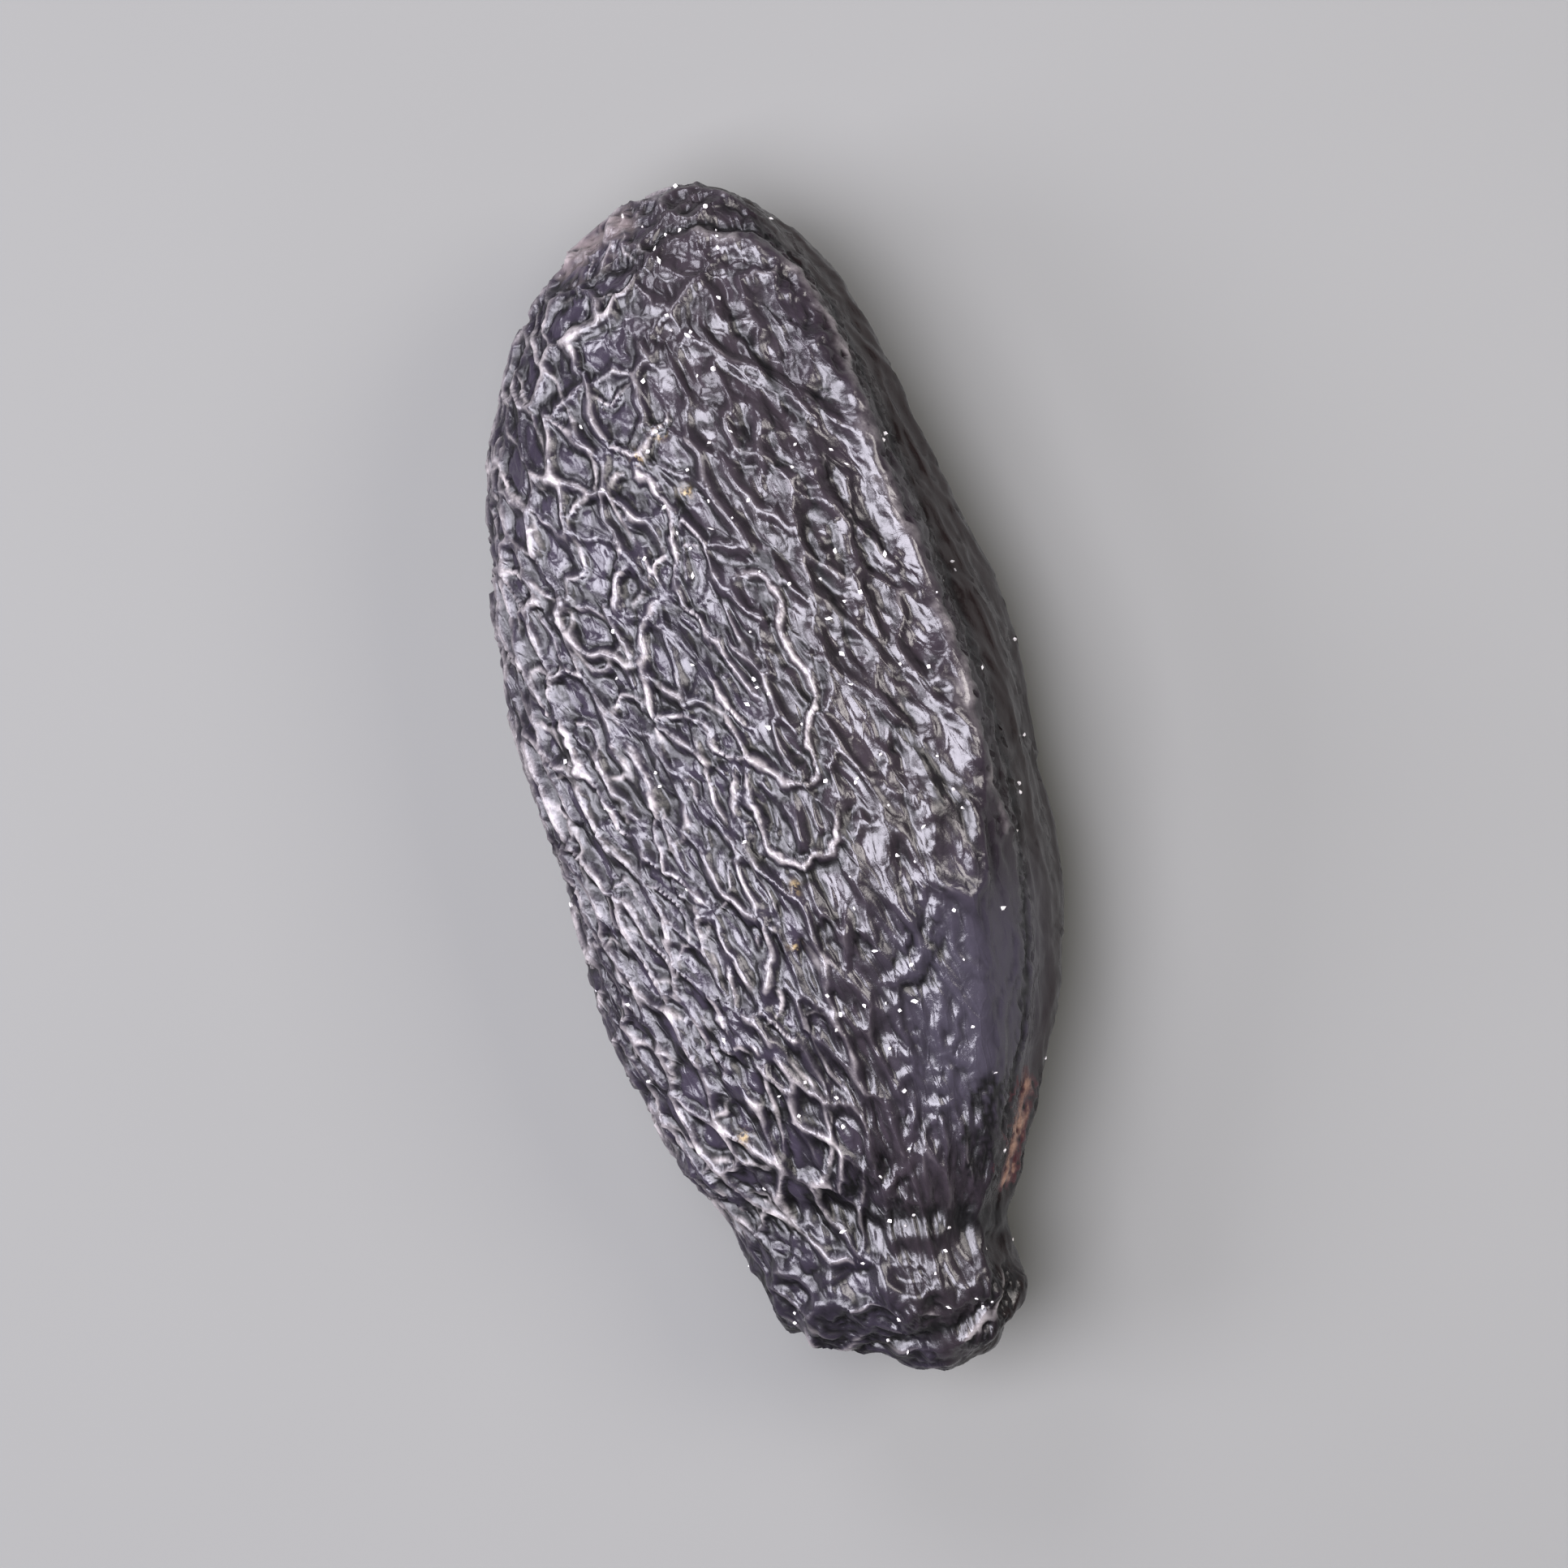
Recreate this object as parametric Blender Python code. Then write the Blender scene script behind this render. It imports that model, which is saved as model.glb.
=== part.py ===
"""One tonka bean, a dried seed lying on its broad side, as a closed solid with its raised net of wrinkles.

+X runs along the bean towards its round end, -Y is the side with the tall smooth flank, +Z is up.
The origin is under the middle of the bean, on the surface it rests on.

The skin is worked out from a unit ball. A direction from the ball's centre gives one point of the bean:
its X is the place along the bean, its turn about X is the place around it. The net is drawn on that ball
as the borders between evenly scattered points, the way cracked or shrunken skin divides, so each border
is a crest of the mesh and each space between borders is a sunken floor.
"""

import bmesh
import bpy
import numpy as np

MM = 0.001

# Driving sizes of the bean.
LENGTH = 36.0 * MM
WIDEST = 15.2 * MM
THICKEST = 10.2 * MM
REST_CUT = 0.14 * MM  # how much the small flat spot takes off the belly
REST_REACH = 0.31  # share of the half length over which the net and the lumps fade out under it
REST_TURN = 36.0  # the same round the bean, in degrees

# Places along the bean, from -1 at the hilum knob to +1 at the round end. At each one: the half width and
# the half thickness as shares of the largest, before the ends round off, and how far the outline's middle
# leans to the -Y side.
PLACES = np.array([-1.0, -0.9, -0.82, -0.74, -0.62, -0.46, -0.2, 0.1, 0.45, 0.7, 0.86, 1.0])
HALF_WIDTH = np.array([1.05, 1.00, 0.83, 0.81, 0.89, 0.92, 0.95, 0.98, 1.03, 1.04, 1.10, 1.10])
HALF_THICK = np.array([0.90, 0.94, 0.84, 0.80, 0.88, 0.95, 1.0, 1.0, 1.0, 1.02, 1.06, 1.0])
LEAN = np.array([0.95, 0.02, -0.17, -0.13, -0.18, -0.04, 0.1, 0.12, -0.25, -0.35, 0.05, 1.0]) * MM
END_LIFT = 0.45 * MM  # the ends sit a little higher than the middle
BOXINESS = 2.35  # 2 is an oval section, more is squarer
THIN_SIDE = 0.075  # half the share by which the upper face stands higher at -Y, and lower at +Y

# Long ribs and hollows of the flank: turn about X from +Y in degrees, height and half width in degrees.
FLANK_LINES = (
    (138.0, 0.42 * MM, 8.0),  # shoulder between the broad face and the flank
    (161.0, -0.30 * MM, 9.0),  # hollow of the flank under it
    (184.0, 0.26 * MM, 6.0),  # rim, where the two halves of the seed meet
    (222.0, 0.24 * MM, 9.0),  # lower shoulder
)
FLANK_DRIFT = 5.0  # degrees that each line wanders to either side
FLANK_WAVES = 5.0  # radians of that wandering from the middle of the bean to either end

# Lumps of the dried body, as waves through space.
LUMP_SEED = 5
LUMP_WAVES = 14
LUMP_LENGTH = 8.5 * MM
LUMP_HEIGHT = 0.24 * MM
WAVE_SPREAD = (0.7, 1.5)  # shortest and longest of such waves, as shares of their stated length
WAVE_PEAK = 1.4  # a high peak of their sum, which is where it levels off

# The crease that sets the knob off from the body.
CREASE_PLACE = -0.73
CREASE_SLANT = 0.055  # how much nearer the middle it lies at +Y, and further from it at -Y
CREASE_WIDTH = 0.045
CREASE_DEPTH = 0.26 * MM

# The raised net.
NET_SEED = 11
NET_CELLS = 740
NET_SCATTER = 0.42  # of the distance between neighbours
NET_TWIST = -0.55  # turn in radians from the middle of the bean to either end
NET_TWIST_LEFT = -0.40  # the same, added on the +Y half of the broad face
LEFT_TURN = 50.0  # middle of that half, in degrees from +Y
LEFT_REACH = 55.0
NET_JOIN_ALONG = 0.42  # share of the walls across the bean that are missing
NET_JOIN_AROUND = 0.10  # share of the walls along the bean that are missing
NET_MOST_JOINED = 3
NET_ACROSS = 0.75  # share of the way between two cells along X, from which their wall runs across the bean
NET_HEIGHT = 0.38 * MM
NET_CREST_SHARE = 0.55  # of the height that stands above the skin, the rest is sunk
FLOOR_REACH = 0.40  # from a wall towards the cell's middle, where its floor starts

# Where the net is faint: the flank, a smooth patch beside it, and the knob. Turns are in degrees from +Y.
FLANK_TURN = 172.0
FLANK_REACH = 34.0
SMOOTH_FLANK = 0.80  # share of the net's height that is missing there
PATCH_PLACE = -0.42
PATCH_LENGTH = 0.20
PATCH_TURN = 140.0
PATCH_REACH = 30.0
SMOOTH_PATCH = 0.75
KNOB_PLACE = -0.80
KNOB_FADE = 0.12
NET_ON_KNOB = 0.55
NET_FAINTEST = 0.12

SLOPE_STEP = 0.004  # step on the ball over which the skin's slopes are read
SLANT = (0.12, 0.31, 0.94)  # any direction that isn't along an axis of the bean

SHARP_EDGE = 50.0  # degrees, from which an edge of the net is shaded sharp
SKIN_COLOUR = (0.030, 0.025, 0.027, 1.0)
SKIN_ROUGHNESS = 0.42


def clear_scene():
    for old in list(bpy.data.objects):
        bpy.data.objects.remove(old, do_unlink=True)


def through(places, values, at):
    """A smooth curve through the values at the places, read at other places."""
    slopes = np.gradient(values, places)
    left = np.clip(np.searchsorted(places, at) - 1, 0, len(places) - 2)
    gap = places[left + 1] - places[left]
    t = (at - places[left]) / gap
    return (
        (1 + 2 * t) * (1 - t) ** 2 * values[left]
        + t * (1 - t) ** 2 * gap * slopes[left]
        + t * t * (3 - 2 * t) * values[left + 1]
        + t * t * (t - 1) * gap * slopes[left + 1]
    )


def waves(points, seed, count, length):
    """Smooth random waves through space, about -1 to 1: a sum of sines in drawn directions."""
    draw = np.random.default_rng(seed)
    directions = draw.normal(size=(count, 3))
    directions /= np.linalg.norm(directions, axis=1)[:, None]
    lengths = length * draw.uniform(*WAVE_SPREAD, count)
    phases = draw.uniform(0, 2 * np.pi, count)
    total = np.sin(points @ (directions * (2 * np.pi / lengths)[:, None]).T + phases).sum(axis=1)
    return np.tanh(total / np.sqrt(count / 2) / WAVE_PEAK)


def around(ball):
    """Turn about X of each direction, in radians from +Y towards +Z."""
    return np.arctan2(ball[:, 2], ball[:, 1])


def turn_gap(turn, degrees):
    """Angle between each turn and a stated one, in degrees, from -180 to 180."""
    return (np.degrees(turn) - degrees + 180) % 360 - 180


def body(ball):
    """The bean without its net: a squarish oval section carried along the stations."""
    place = np.clip(ball[:, 0], -1, 1)
    ring = np.sqrt(np.maximum(1 - place**2, 0))
    turn = around(ball)
    c, s = np.cos(turn), np.sin(turn)
    reach = (np.abs(c) ** BOXINESS + np.abs(s) ** BOXINESS) ** (-1 / BOXINESS)
    half_width = WIDEST / 2 * through(PLACES, HALF_WIDTH, place)
    half_thick = THICKEST / 2 * through(PLACES, HALF_THICK, place) * (1 - THIN_SIDE * c * (1 + s))
    return np.column_stack(
        [
            LENGTH / 2 * place,
            -through(PLACES, LEAN, place) + half_width * ring * reach * c,
            END_LIFT * place**2 + half_thick * ring * reach * s,
        ]
    )


def outward(ball, shape):
    """Unit normals of a shape drawn on the ball, from how it changes along two directions."""
    first = np.cross(ball, SLANT)
    first /= np.linalg.norm(first, axis=1)[:, None]
    second = np.cross(ball, first)

    def change(side):
        ahead = ball + SLOPE_STEP * side
        behind = ball - SLOPE_STEP * side
        ahead /= np.linalg.norm(ahead, axis=1)[:, None]
        behind /= np.linalg.norm(behind, axis=1)[:, None]
        return shape(ahead) - shape(behind)

    normal = np.cross(change(first), change(second))
    return normal / np.linalg.norm(normal, axis=1)[:, None]


def away_from_rest(ball):
    """0 over the spot that the bean rests on, rising to 1 around it."""
    along = ball[:, 0] / REST_REACH
    aside = turn_gap(around(ball), 270.0) / REST_TURN
    return 1 - np.exp(-((along**2 + aside**2) ** 3))


def folds(ball):
    """Height of what is broader than the net: the flank's ribs, the knob's crease and the lumps."""
    turn = around(ball)
    ring = np.sqrt(np.maximum(1 - ball[:, 0] ** 2, 0))
    height = np.zeros(len(ball))
    for degrees, rise, half_width in FLANK_LINES:
        drift = FLANK_DRIFT * np.sin(FLANK_WAVES * ball[:, 0] + degrees)
        height += rise * ring**1.5 * np.exp(-((turn_gap(turn, degrees + drift) / half_width) ** 2))
    crease = CREASE_PLACE + CREASE_SLANT * np.cos(turn)
    height -= CREASE_DEPTH * np.exp(-(((ball[:, 0] - crease) / CREASE_WIDTH) ** 2))
    lumps = LUMP_HEIGHT * waves(body(ball), LUMP_SEED, LUMP_WAVES, LUMP_LENGTH)
    return height + lumps * away_from_rest(ball)


def net_strength(ball):
    """How strongly the net stands up, from 0 to 1: full on the broad faces, faint on the smooth flank."""
    turn = around(ball)
    flank = np.exp(-((turn_gap(turn, FLANK_TURN) / FLANK_REACH) ** 4))
    aside = turn_gap(turn, PATCH_TURN) / PATCH_REACH
    patch = np.exp(-(((ball[:, 0] - PATCH_PLACE) / PATCH_LENGTH) ** 4) - aside**4)
    off_knob = np.clip((ball[:, 0] - KNOB_PLACE) / KNOB_FADE, 0, 1)
    strength = np.clip(1 - SMOOTH_FLANK * flank - SMOOTH_PATCH * patch, NET_FAINTEST, 1)
    return strength * (NET_ON_KNOB + (1 - NET_ON_KNOB) * off_knob) * away_from_rest(ball)


def scattered_points():
    """Points spread evenly on the ball along a golden spiral, then pushed about a little."""
    draw = np.random.default_rng(NET_SEED)
    count = np.arange(NET_CELLS) + 0.5
    place = 1 - 2 * count / NET_CELLS
    turn = count * np.pi * (3 - np.sqrt(5))
    ring = np.sqrt(1 - place**2)
    points = np.column_stack([place, ring * np.cos(turn), ring * np.sin(turn)])
    points += draw.normal(size=points.shape) * NET_SCATTER * np.sqrt(4 * np.pi / NET_CELLS) / np.sqrt(3)
    return points / np.linalg.norm(points, axis=1)[:, None]


def twisted(ball):
    """The net's ball turned about X in step with the place along it, so that the cells lie aslant."""
    turn = around(ball)
    left_face = np.exp(-((turn_gap(turn, LEFT_TURN) / LEFT_REACH) ** 2))
    turned = turn + ball[:, 0] * (NET_TWIST + NET_TWIST_LEFT * left_face)
    ring = np.sqrt(np.maximum(1 - ball[:, 0] ** 2, 0))
    return np.column_stack([ball[:, 0], ring * np.cos(turned), ring * np.sin(turned)])


def neighbour_net(points):
    """The triangles that join neighbouring points, from the hull round them all."""
    net = bmesh.new()
    for point in points:
        net.verts.new(point)
    bmesh.ops.convex_hull(net, input=list(net.verts))
    bmesh.ops.triangulate(net, faces=list(net.faces))
    net.verts.index_update()
    corners = np.array([[v.index for v in face.verts] for face in net.faces])
    net.free()
    return corners


def joined_cells(points, pairs):
    """Gives each cell the number of its group: cells with no wall between them share one."""
    draw = np.random.default_rng(NET_SEED + 1)
    group = np.arange(len(points))
    size = np.ones(len(points), int)
    for (a, b), chance in zip(pairs, draw.random(len(pairs))):
        gap = np.abs(points[a] - points[b])
        across = gap[0] > NET_ACROSS * np.linalg.norm(gap)
        wanted = NET_JOIN_ALONG if across else NET_JOIN_AROUND
        one, other = group[a], group[b]
        if chance < wanted and one != other and size[one] + size[other] <= NET_MOST_JOINED:
            size[one] += size[other]
            group[group == other] = one
    return group


def crests_and_floors():
    """The net as points on the ball, their rise (1 on a crest, 0 on a floor) and the faces between them."""
    points = scattered_points()
    corners = neighbour_net(points)
    crossings = np.cross(
        points[corners[:, 1]] - points[corners[:, 0]], points[corners[:, 2]] - points[corners[:, 0]]
    )
    crossings /= np.linalg.norm(crossings, axis=1)[:, None]
    crossings *= np.sign((crossings * points[corners[:, 0]]).sum(axis=1))[:, None]
    around_pair = {}
    around_cell = {}
    for index, triangle in enumerate(corners):
        for n in range(3):
            a, b, c = triangle[n], triangle[(n + 1) % 3], triangle[(n + 2) % 3]
            around_pair.setdefault((min(a, b), max(a, b)), []).append(index)
            around_cell.setdefault(a, {})[b] = (c, index)
    pairs = sorted(around_pair)
    group = joined_cells(points, pairs)
    spots, rises, spot_of = [], [], {}

    def spot(crossing, cell=None):
        """Number of the mesh point at a crossing: its crest, or the floor corner of one cell group."""
        key = (crossing, None if cell is None else group[cell])
        if key not in spot_of:
            spot_of[key] = len(spots)
            place = crossings[crossing]
            if cell is not None:
                own = [m for m in corners[crossing] if group[m] == group[cell]]
                if len(own) < 3:
                    place = place + FLOOR_REACH * (points[own].mean(axis=0) - place)
            spots.append(place / np.linalg.norm(place))
            rises.append(1.0 if cell is None else 0.0)
        return spot_of[key]

    faces = []
    for a, b in pairs:
        if group[a] == group[b]:
            continue
        start, end = around_pair[(a, b)]
        for cell in (a, b):
            faces.append([spot(start), spot(end), spot(end, cell), spot(start, cell)])
    for cell, ring in around_cell.items():
        member, loop = next(iter(ring)), []
        for _ in range(len(ring)):
            member, crossing = ring[member]
            loop.append(spot(crossing, cell))
        faces.append(loop)
    return np.array(spots), np.array(rises), faces


def smooth_skin(ball):
    """The bean with its broad folds, and no net."""
    return body(ball) + folds(ball)[:, None] * outward(ball, body)


def stood(points):
    """Flattens the small spot that the bean rests on, and centres the bean's box over the origin."""
    low, high = points.min(axis=0), points.max(axis=0)
    foot = low[2] + REST_CUT
    points = points - [(low[0] + high[0]) / 2, (low[1] + high[1]) / 2, foot]
    points[:, 2] = np.maximum(points[:, 2], 0)
    return points


def build_bean():
    spots, rises, faces = crests_and_floors()
    ball = twisted(spots)
    height = NET_HEIGHT * net_strength(ball) * (rises - 1 + NET_CREST_SHARE)
    skin = smooth_skin(ball) + height[:, None] * outward(ball, smooth_skin)
    mesh = bpy.data.meshes.new("tonka_bean")
    mesh.from_pydata(stood(skin).tolist(), [], faces)
    shape = bmesh.new()
    shape.from_mesh(mesh)
    bmesh.ops.recalc_face_normals(shape, faces=list(shape.faces))
    bmesh.ops.triangulate(shape, faces=list(shape.faces))
    shape.to_mesh(mesh)
    shape.free()
    mesh.shade_smooth()
    mesh.set_sharp_from_angle(angle=np.radians(SHARP_EDGE))
    return bpy.data.objects.new("tonka_bean", mesh)


def seed_coat():
    """Dried seed coat: nearly black, with a waxy satin gloss."""
    material = bpy.data.materials.new("seed_coat")
    material.use_nodes = True
    shader = material.node_tree.nodes["Principled BSDF"]
    shader.inputs["Base Color"].default_value = SKIN_COLOUR
    shader.inputs["Roughness"].default_value = SKIN_ROUGHNESS
    shader.inputs["Metallic"].default_value = 0.0
    material.diffuse_color = SKIN_COLOUR
    return material


def main():
    clear_scene()
    home = bpy.data.collections.new("tonka_bean")
    bpy.context.scene.collection.children.link(home)
    bean = build_bean()
    bean.data.materials.append(seed_coat())
    home.objects.link(bean)


main()
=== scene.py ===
"""Looks of one dried tonka bean: its wrinkled seed coat and its crystals, with floor, light and camera.

The skin is worked out from a unit ball, with the same sizes and the same net as the solid it replaces:
+X runs to the round end, -Y is the smooth flank, +Z is up. A direction from the ball's centre gives one
point of the bean, its X being the place along it and its turn about X the place around it.
"""

from types import SimpleNamespace

import bmesh
import bpy
import numpy as np
from mathutils import Matrix, Vector


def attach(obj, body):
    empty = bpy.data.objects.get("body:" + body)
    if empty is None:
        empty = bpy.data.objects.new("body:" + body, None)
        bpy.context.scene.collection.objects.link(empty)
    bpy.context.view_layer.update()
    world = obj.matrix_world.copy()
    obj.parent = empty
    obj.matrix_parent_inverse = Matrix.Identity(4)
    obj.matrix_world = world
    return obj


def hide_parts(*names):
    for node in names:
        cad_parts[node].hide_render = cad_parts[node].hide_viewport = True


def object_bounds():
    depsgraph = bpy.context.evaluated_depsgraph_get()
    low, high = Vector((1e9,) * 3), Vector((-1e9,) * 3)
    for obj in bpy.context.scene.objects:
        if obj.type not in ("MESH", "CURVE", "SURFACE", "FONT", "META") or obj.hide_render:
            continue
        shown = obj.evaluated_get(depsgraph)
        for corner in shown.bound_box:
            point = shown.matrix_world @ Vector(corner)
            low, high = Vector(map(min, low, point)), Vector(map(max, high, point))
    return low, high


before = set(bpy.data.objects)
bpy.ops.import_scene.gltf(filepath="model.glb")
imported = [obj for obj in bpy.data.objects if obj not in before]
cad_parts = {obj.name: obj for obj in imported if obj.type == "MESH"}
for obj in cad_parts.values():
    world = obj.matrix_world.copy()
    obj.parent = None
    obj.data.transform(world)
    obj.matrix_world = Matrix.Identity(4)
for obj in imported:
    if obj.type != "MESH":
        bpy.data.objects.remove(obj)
solid_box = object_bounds()

MM = 0.001

# Driving sizes of the bean, as in the solid.
LENGTH = 36.0 * MM
WIDEST = 15.2 * MM
THICKEST = 10.2 * MM
REST_CUT = 0.14 * MM  # how much the small flat spot takes off the belly
REST_REACH = 0.31  # share of the half length over which the net and the lumps fade out under it
REST_TURN = 36.0  # the same round the bean, in degrees

# Places along the bean, from -1 at the knob to +1 at the round end, and what it has there: its width and its
# thickness as shares of an even bean's, and how far its middle leans to -Y.
PLACES = np.array([-1.0, -0.9, -0.82, -0.74, -0.62, -0.46, -0.2, 0.1, 0.45, 0.7, 0.86, 1.0])
HALF_WIDTH = np.array([1.05, 1.00, 0.83, 0.81, 0.89, 0.92, 0.95, 0.98, 1.03, 1.04, 1.10, 1.10])
HALF_THICK = np.array([0.90, 0.94, 0.84, 0.80, 0.88, 0.95, 1.0, 1.0, 1.0, 1.02, 1.06, 1.0])
LEAN = np.array([0.95, 0.02, -0.17, -0.13, -0.18, -0.04, 0.1, 0.12, -0.25, -0.35, 0.05, 1.0]) * MM
END_LIFT = 0.45 * MM  # the ends sit a little higher than the middle
BOXINESS = 2.35  # 2 is an oval section, more is squarer
THIN_SIDE = 0.075  # half the share by which the upper face stands higher at -Y, and lower at +Y

# Long ribs and hollows of the flank: turn about X from +Y in degrees, height and half width in degrees.
FLANK_LINES = (
    (138.0, 0.42 * MM, 8.0),
    (161.0, -0.30 * MM, 9.0),
    (184.0, 0.26 * MM, 6.0),
    (222.0, 0.24 * MM, 9.0),
)
FLANK_DRIFT = 5.0  # degrees that each line wanders to either side
FLANK_WAVES = 5.0  # radians of that wandering from the middle of the bean to either end

# Lumps of the dried body, as waves through space, and the crease that sets the knob off.
LUMP_SEED = 5
LUMP_WAVES = 14
LUMP_LENGTH = 8.5 * MM
LUMP_HEIGHT = 0.24 * MM
CREASE_PLACE = -0.73
CREASE_SLANT = 0.055
CREASE_WIDTH = 0.045
CREASE_DEPTH = 0.26 * MM
CREASE_SHADE = 0.03  # half width of the painted shade line in the crease

WAVE_SPREAD = (0.7, 1.5)  # shortest and longest of random waves, as shares of their stated length
WAVE_PEAK = 1.4  # a high peak of their sum, which is where it levels off
SLOPE_STEP = 0.004  # step on the ball over which slopes are read
SLANT = (0.12, 0.31, 0.94)  # any direction that isn't along an axis of the bean

# The main net, the solid's own: cells as points on the ball, some of them joined.
NET_SEED = 11
NET_CELLS = 740
NET_SCATTER = 0.42  # of the distance between neighbours
NET_TWIST = -0.55  # turn in radians from the middle of the bean to either end
NET_TWIST_LEFT = -0.40  # the same, added on the +Y half of the broad face
TWIST_LEFT_TURN = 50.0  # middle of that half, in degrees from +Y
TWIST_LEFT_REACH = 55.0
TWIST_ROUNDS = 10
NET_ACROSS = 0.75  # share of the way between two cells along X, from which their wall runs across the bean
NET_JOIN_ALONG = 0.42  # share of the walls across the bean that are missing
NET_JOIN_AROUND = 0.10  # share of the walls along the bean that are missing
NET_MOST_JOINED = 3
NET_HEIGHT = 0.40 * MM
NET_CREST_SHARE = 0.55  # of the height that stands above the skin, the rest is sunk
NET_HALF_WIDTH = 0.135 * MM
NET_SKIRT = 0.48 * MM  # half width of the broad rise that carries each wall
SKIRT_SHARE = 0.65  # of the net's form that is this rise, the rest is the wall itself
NET_WEAKEST = 0.45  # of the height, where a wall is faint
CELLS_TRIED = 8  # nearest cells whose borders are looked at
CELL_REACH = 2.6  # how far along X those are looked for, in cell widths
BATCH = 4000  # points that are looked at together

# Where the net is faint: the flank, a smooth patch beside it, and the knob. Turns are in degrees from +Y.
FLANK_TURN = 172.0
FLANK_REACH = 34.0
SMOOTH_FLANK = 0.80  # share of the net's height that is missing there
PATCH_PLACE = -0.42
PATCH_LENGTH = 0.20
PATCH_TURN = 140.0
PATCH_REACH = 30.0
SMOOTH_PATCH = 0.75
KNOB_PLACE = -0.80
KNOB_FADE = 0.12
NET_ON_KNOB = 0.55
NET_FAINTEST = 0.12

# The knob's own look starts at one place and is full a little further on.
KNOB_LOOK_PLACE = -0.72
KNOB_LOOK_FADE = 0.08

# The right face, which is the part beside the flank: middle and half width in degrees, and their change at
# the round end.
RIGHT_TURN = 116.0
RIGHT_TURN_AT_END = -12.0
RIGHT_REACH = 24.0
RIGHT_REACH_AT_END = 10.0

# The left face, which is the part furthest from the flank.
LEFT_TURN = 35.0
LEFT_REACH = 26.0

# Fold lines inside the net's cells: the zero lines of waves of one length, that lie in the skin.
FOLD_WAVES = 70
FOLD_SPREAD = 0.12  # of the length, either way
FOLD_LYING = 3.0  # how sharply waves that run into the skin are left out
FACE_FOLDS = (101, 2.0 * MM, 2.4)  # seed, length across the bean, how much longer they are along it
LEFT_FOLDS = (103, 1.75 * MM, 1.5)
RIGHT_FOLDS = (107, 2.3 * MM, 3.6)
KNOB_FOLDS = (109, 2.6 * MM, 1.0)
RIGHT_FOLDS_SHARE = 0.9  # of the face's folds that give way to those of the right face
LEFT_FOLDS_SHARE = 0.7
FOLD_HEIGHT = 0.13 * MM
FOLD_HALF_WIDTH = 0.115 * MM
SHARPNESS = 1.7  # a ridge is e to the minus distance to this power: 2 is a round bell, less is more pointed
GROOVE_DEPTH = 0.17 * MM
GROOVE_PLACE = 2.0  # middle of the groove beside a line, in half widths of the line
GROOVE_WIDTH = 0.95
LINE_SEED = 127
LINE_WAVES = 30
LINE_LENGTH = 1.2 * MM  # of the waves that widen and raise the lines here and there
LINE_STEEPNESS = 1.5
LINE_WIDENING = 0.42
LINE_RISING = 0.30
FADE_SEED = 113
FADE_LENGTH = 2.4 * MM
FADE_STEEPNESS = 2.0
FAINTEST_FOLD = 0.75

# The boldest folds of the broad face, point by point in the photograph turned upright and doubled.
BOLD_FOLDS = (
    ((352, 520), (350, 498), (357, 482), (368, 470), (380, 460)),
    ((407, 506), (392, 511), (380, 524), (370, 545), (366, 580), (362, 612), (366, 631), (384, 636),
     (404, 641), (415, 654), (422, 678), (433, 692), (450, 696), (462, 704), (478, 724), (496, 735),
     (514, 738), (521, 724), (518, 700), (527, 674), (538, 648), (535, 622), (524, 600), (518, 578),
     (522, 555), (523, 530), (512, 511), (495, 502), (478, 508)),
    ((405, 350), (404, 365), (412, 380), (422, 395), (429, 414), (430, 432), (427, 456), (424, 478),
     (418, 500), (430, 530), (440, 555), (452, 581), (461, 606), (472, 634), (480, 652)),
    ((372, 344), (388, 341), (405, 350), (420, 344), (436, 334), (448, 322), (458, 307)),
    ((424, 596), (436, 611), (441, 628), (452, 652), (470, 672)),
    ((322, 640), (332, 664), (341, 690), (345, 716), (340, 744), (336, 772), (338, 794), (350, 810),
     (366, 826), (378, 852)),
    ((437, 700), (430, 738), (420, 764)),
    ((379, 694), (386, 716), (394, 742)),
    ((447, 700), (446, 742), (449, 788), (462, 812), (480, 822), (500, 815), (516, 813), (529, 792),
     (538, 764)),
    ((262, 598), (268, 632), (272, 668), (290, 704), (300, 742), (322, 752)),
    ((436, 866), (430, 890), (427, 912), (420, 936), (417, 960)),
    ((330, 944), (335, 974), (345, 1002), (352, 1030), (360, 1044)),
    ((379, 902), (381, 930), (377, 968)),
    ((383, 988), (391, 1008), (404, 1014)),
    ((352, 925), (360, 962), (366, 990)),
)
BOLD_HALF_WIDTH = 0.12 * MM
BOLD_HEIGHT = 0.14 * MM
BOLD_CLEARANCE = 0.30 * MM  # other lines fade this near to a bold one

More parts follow.
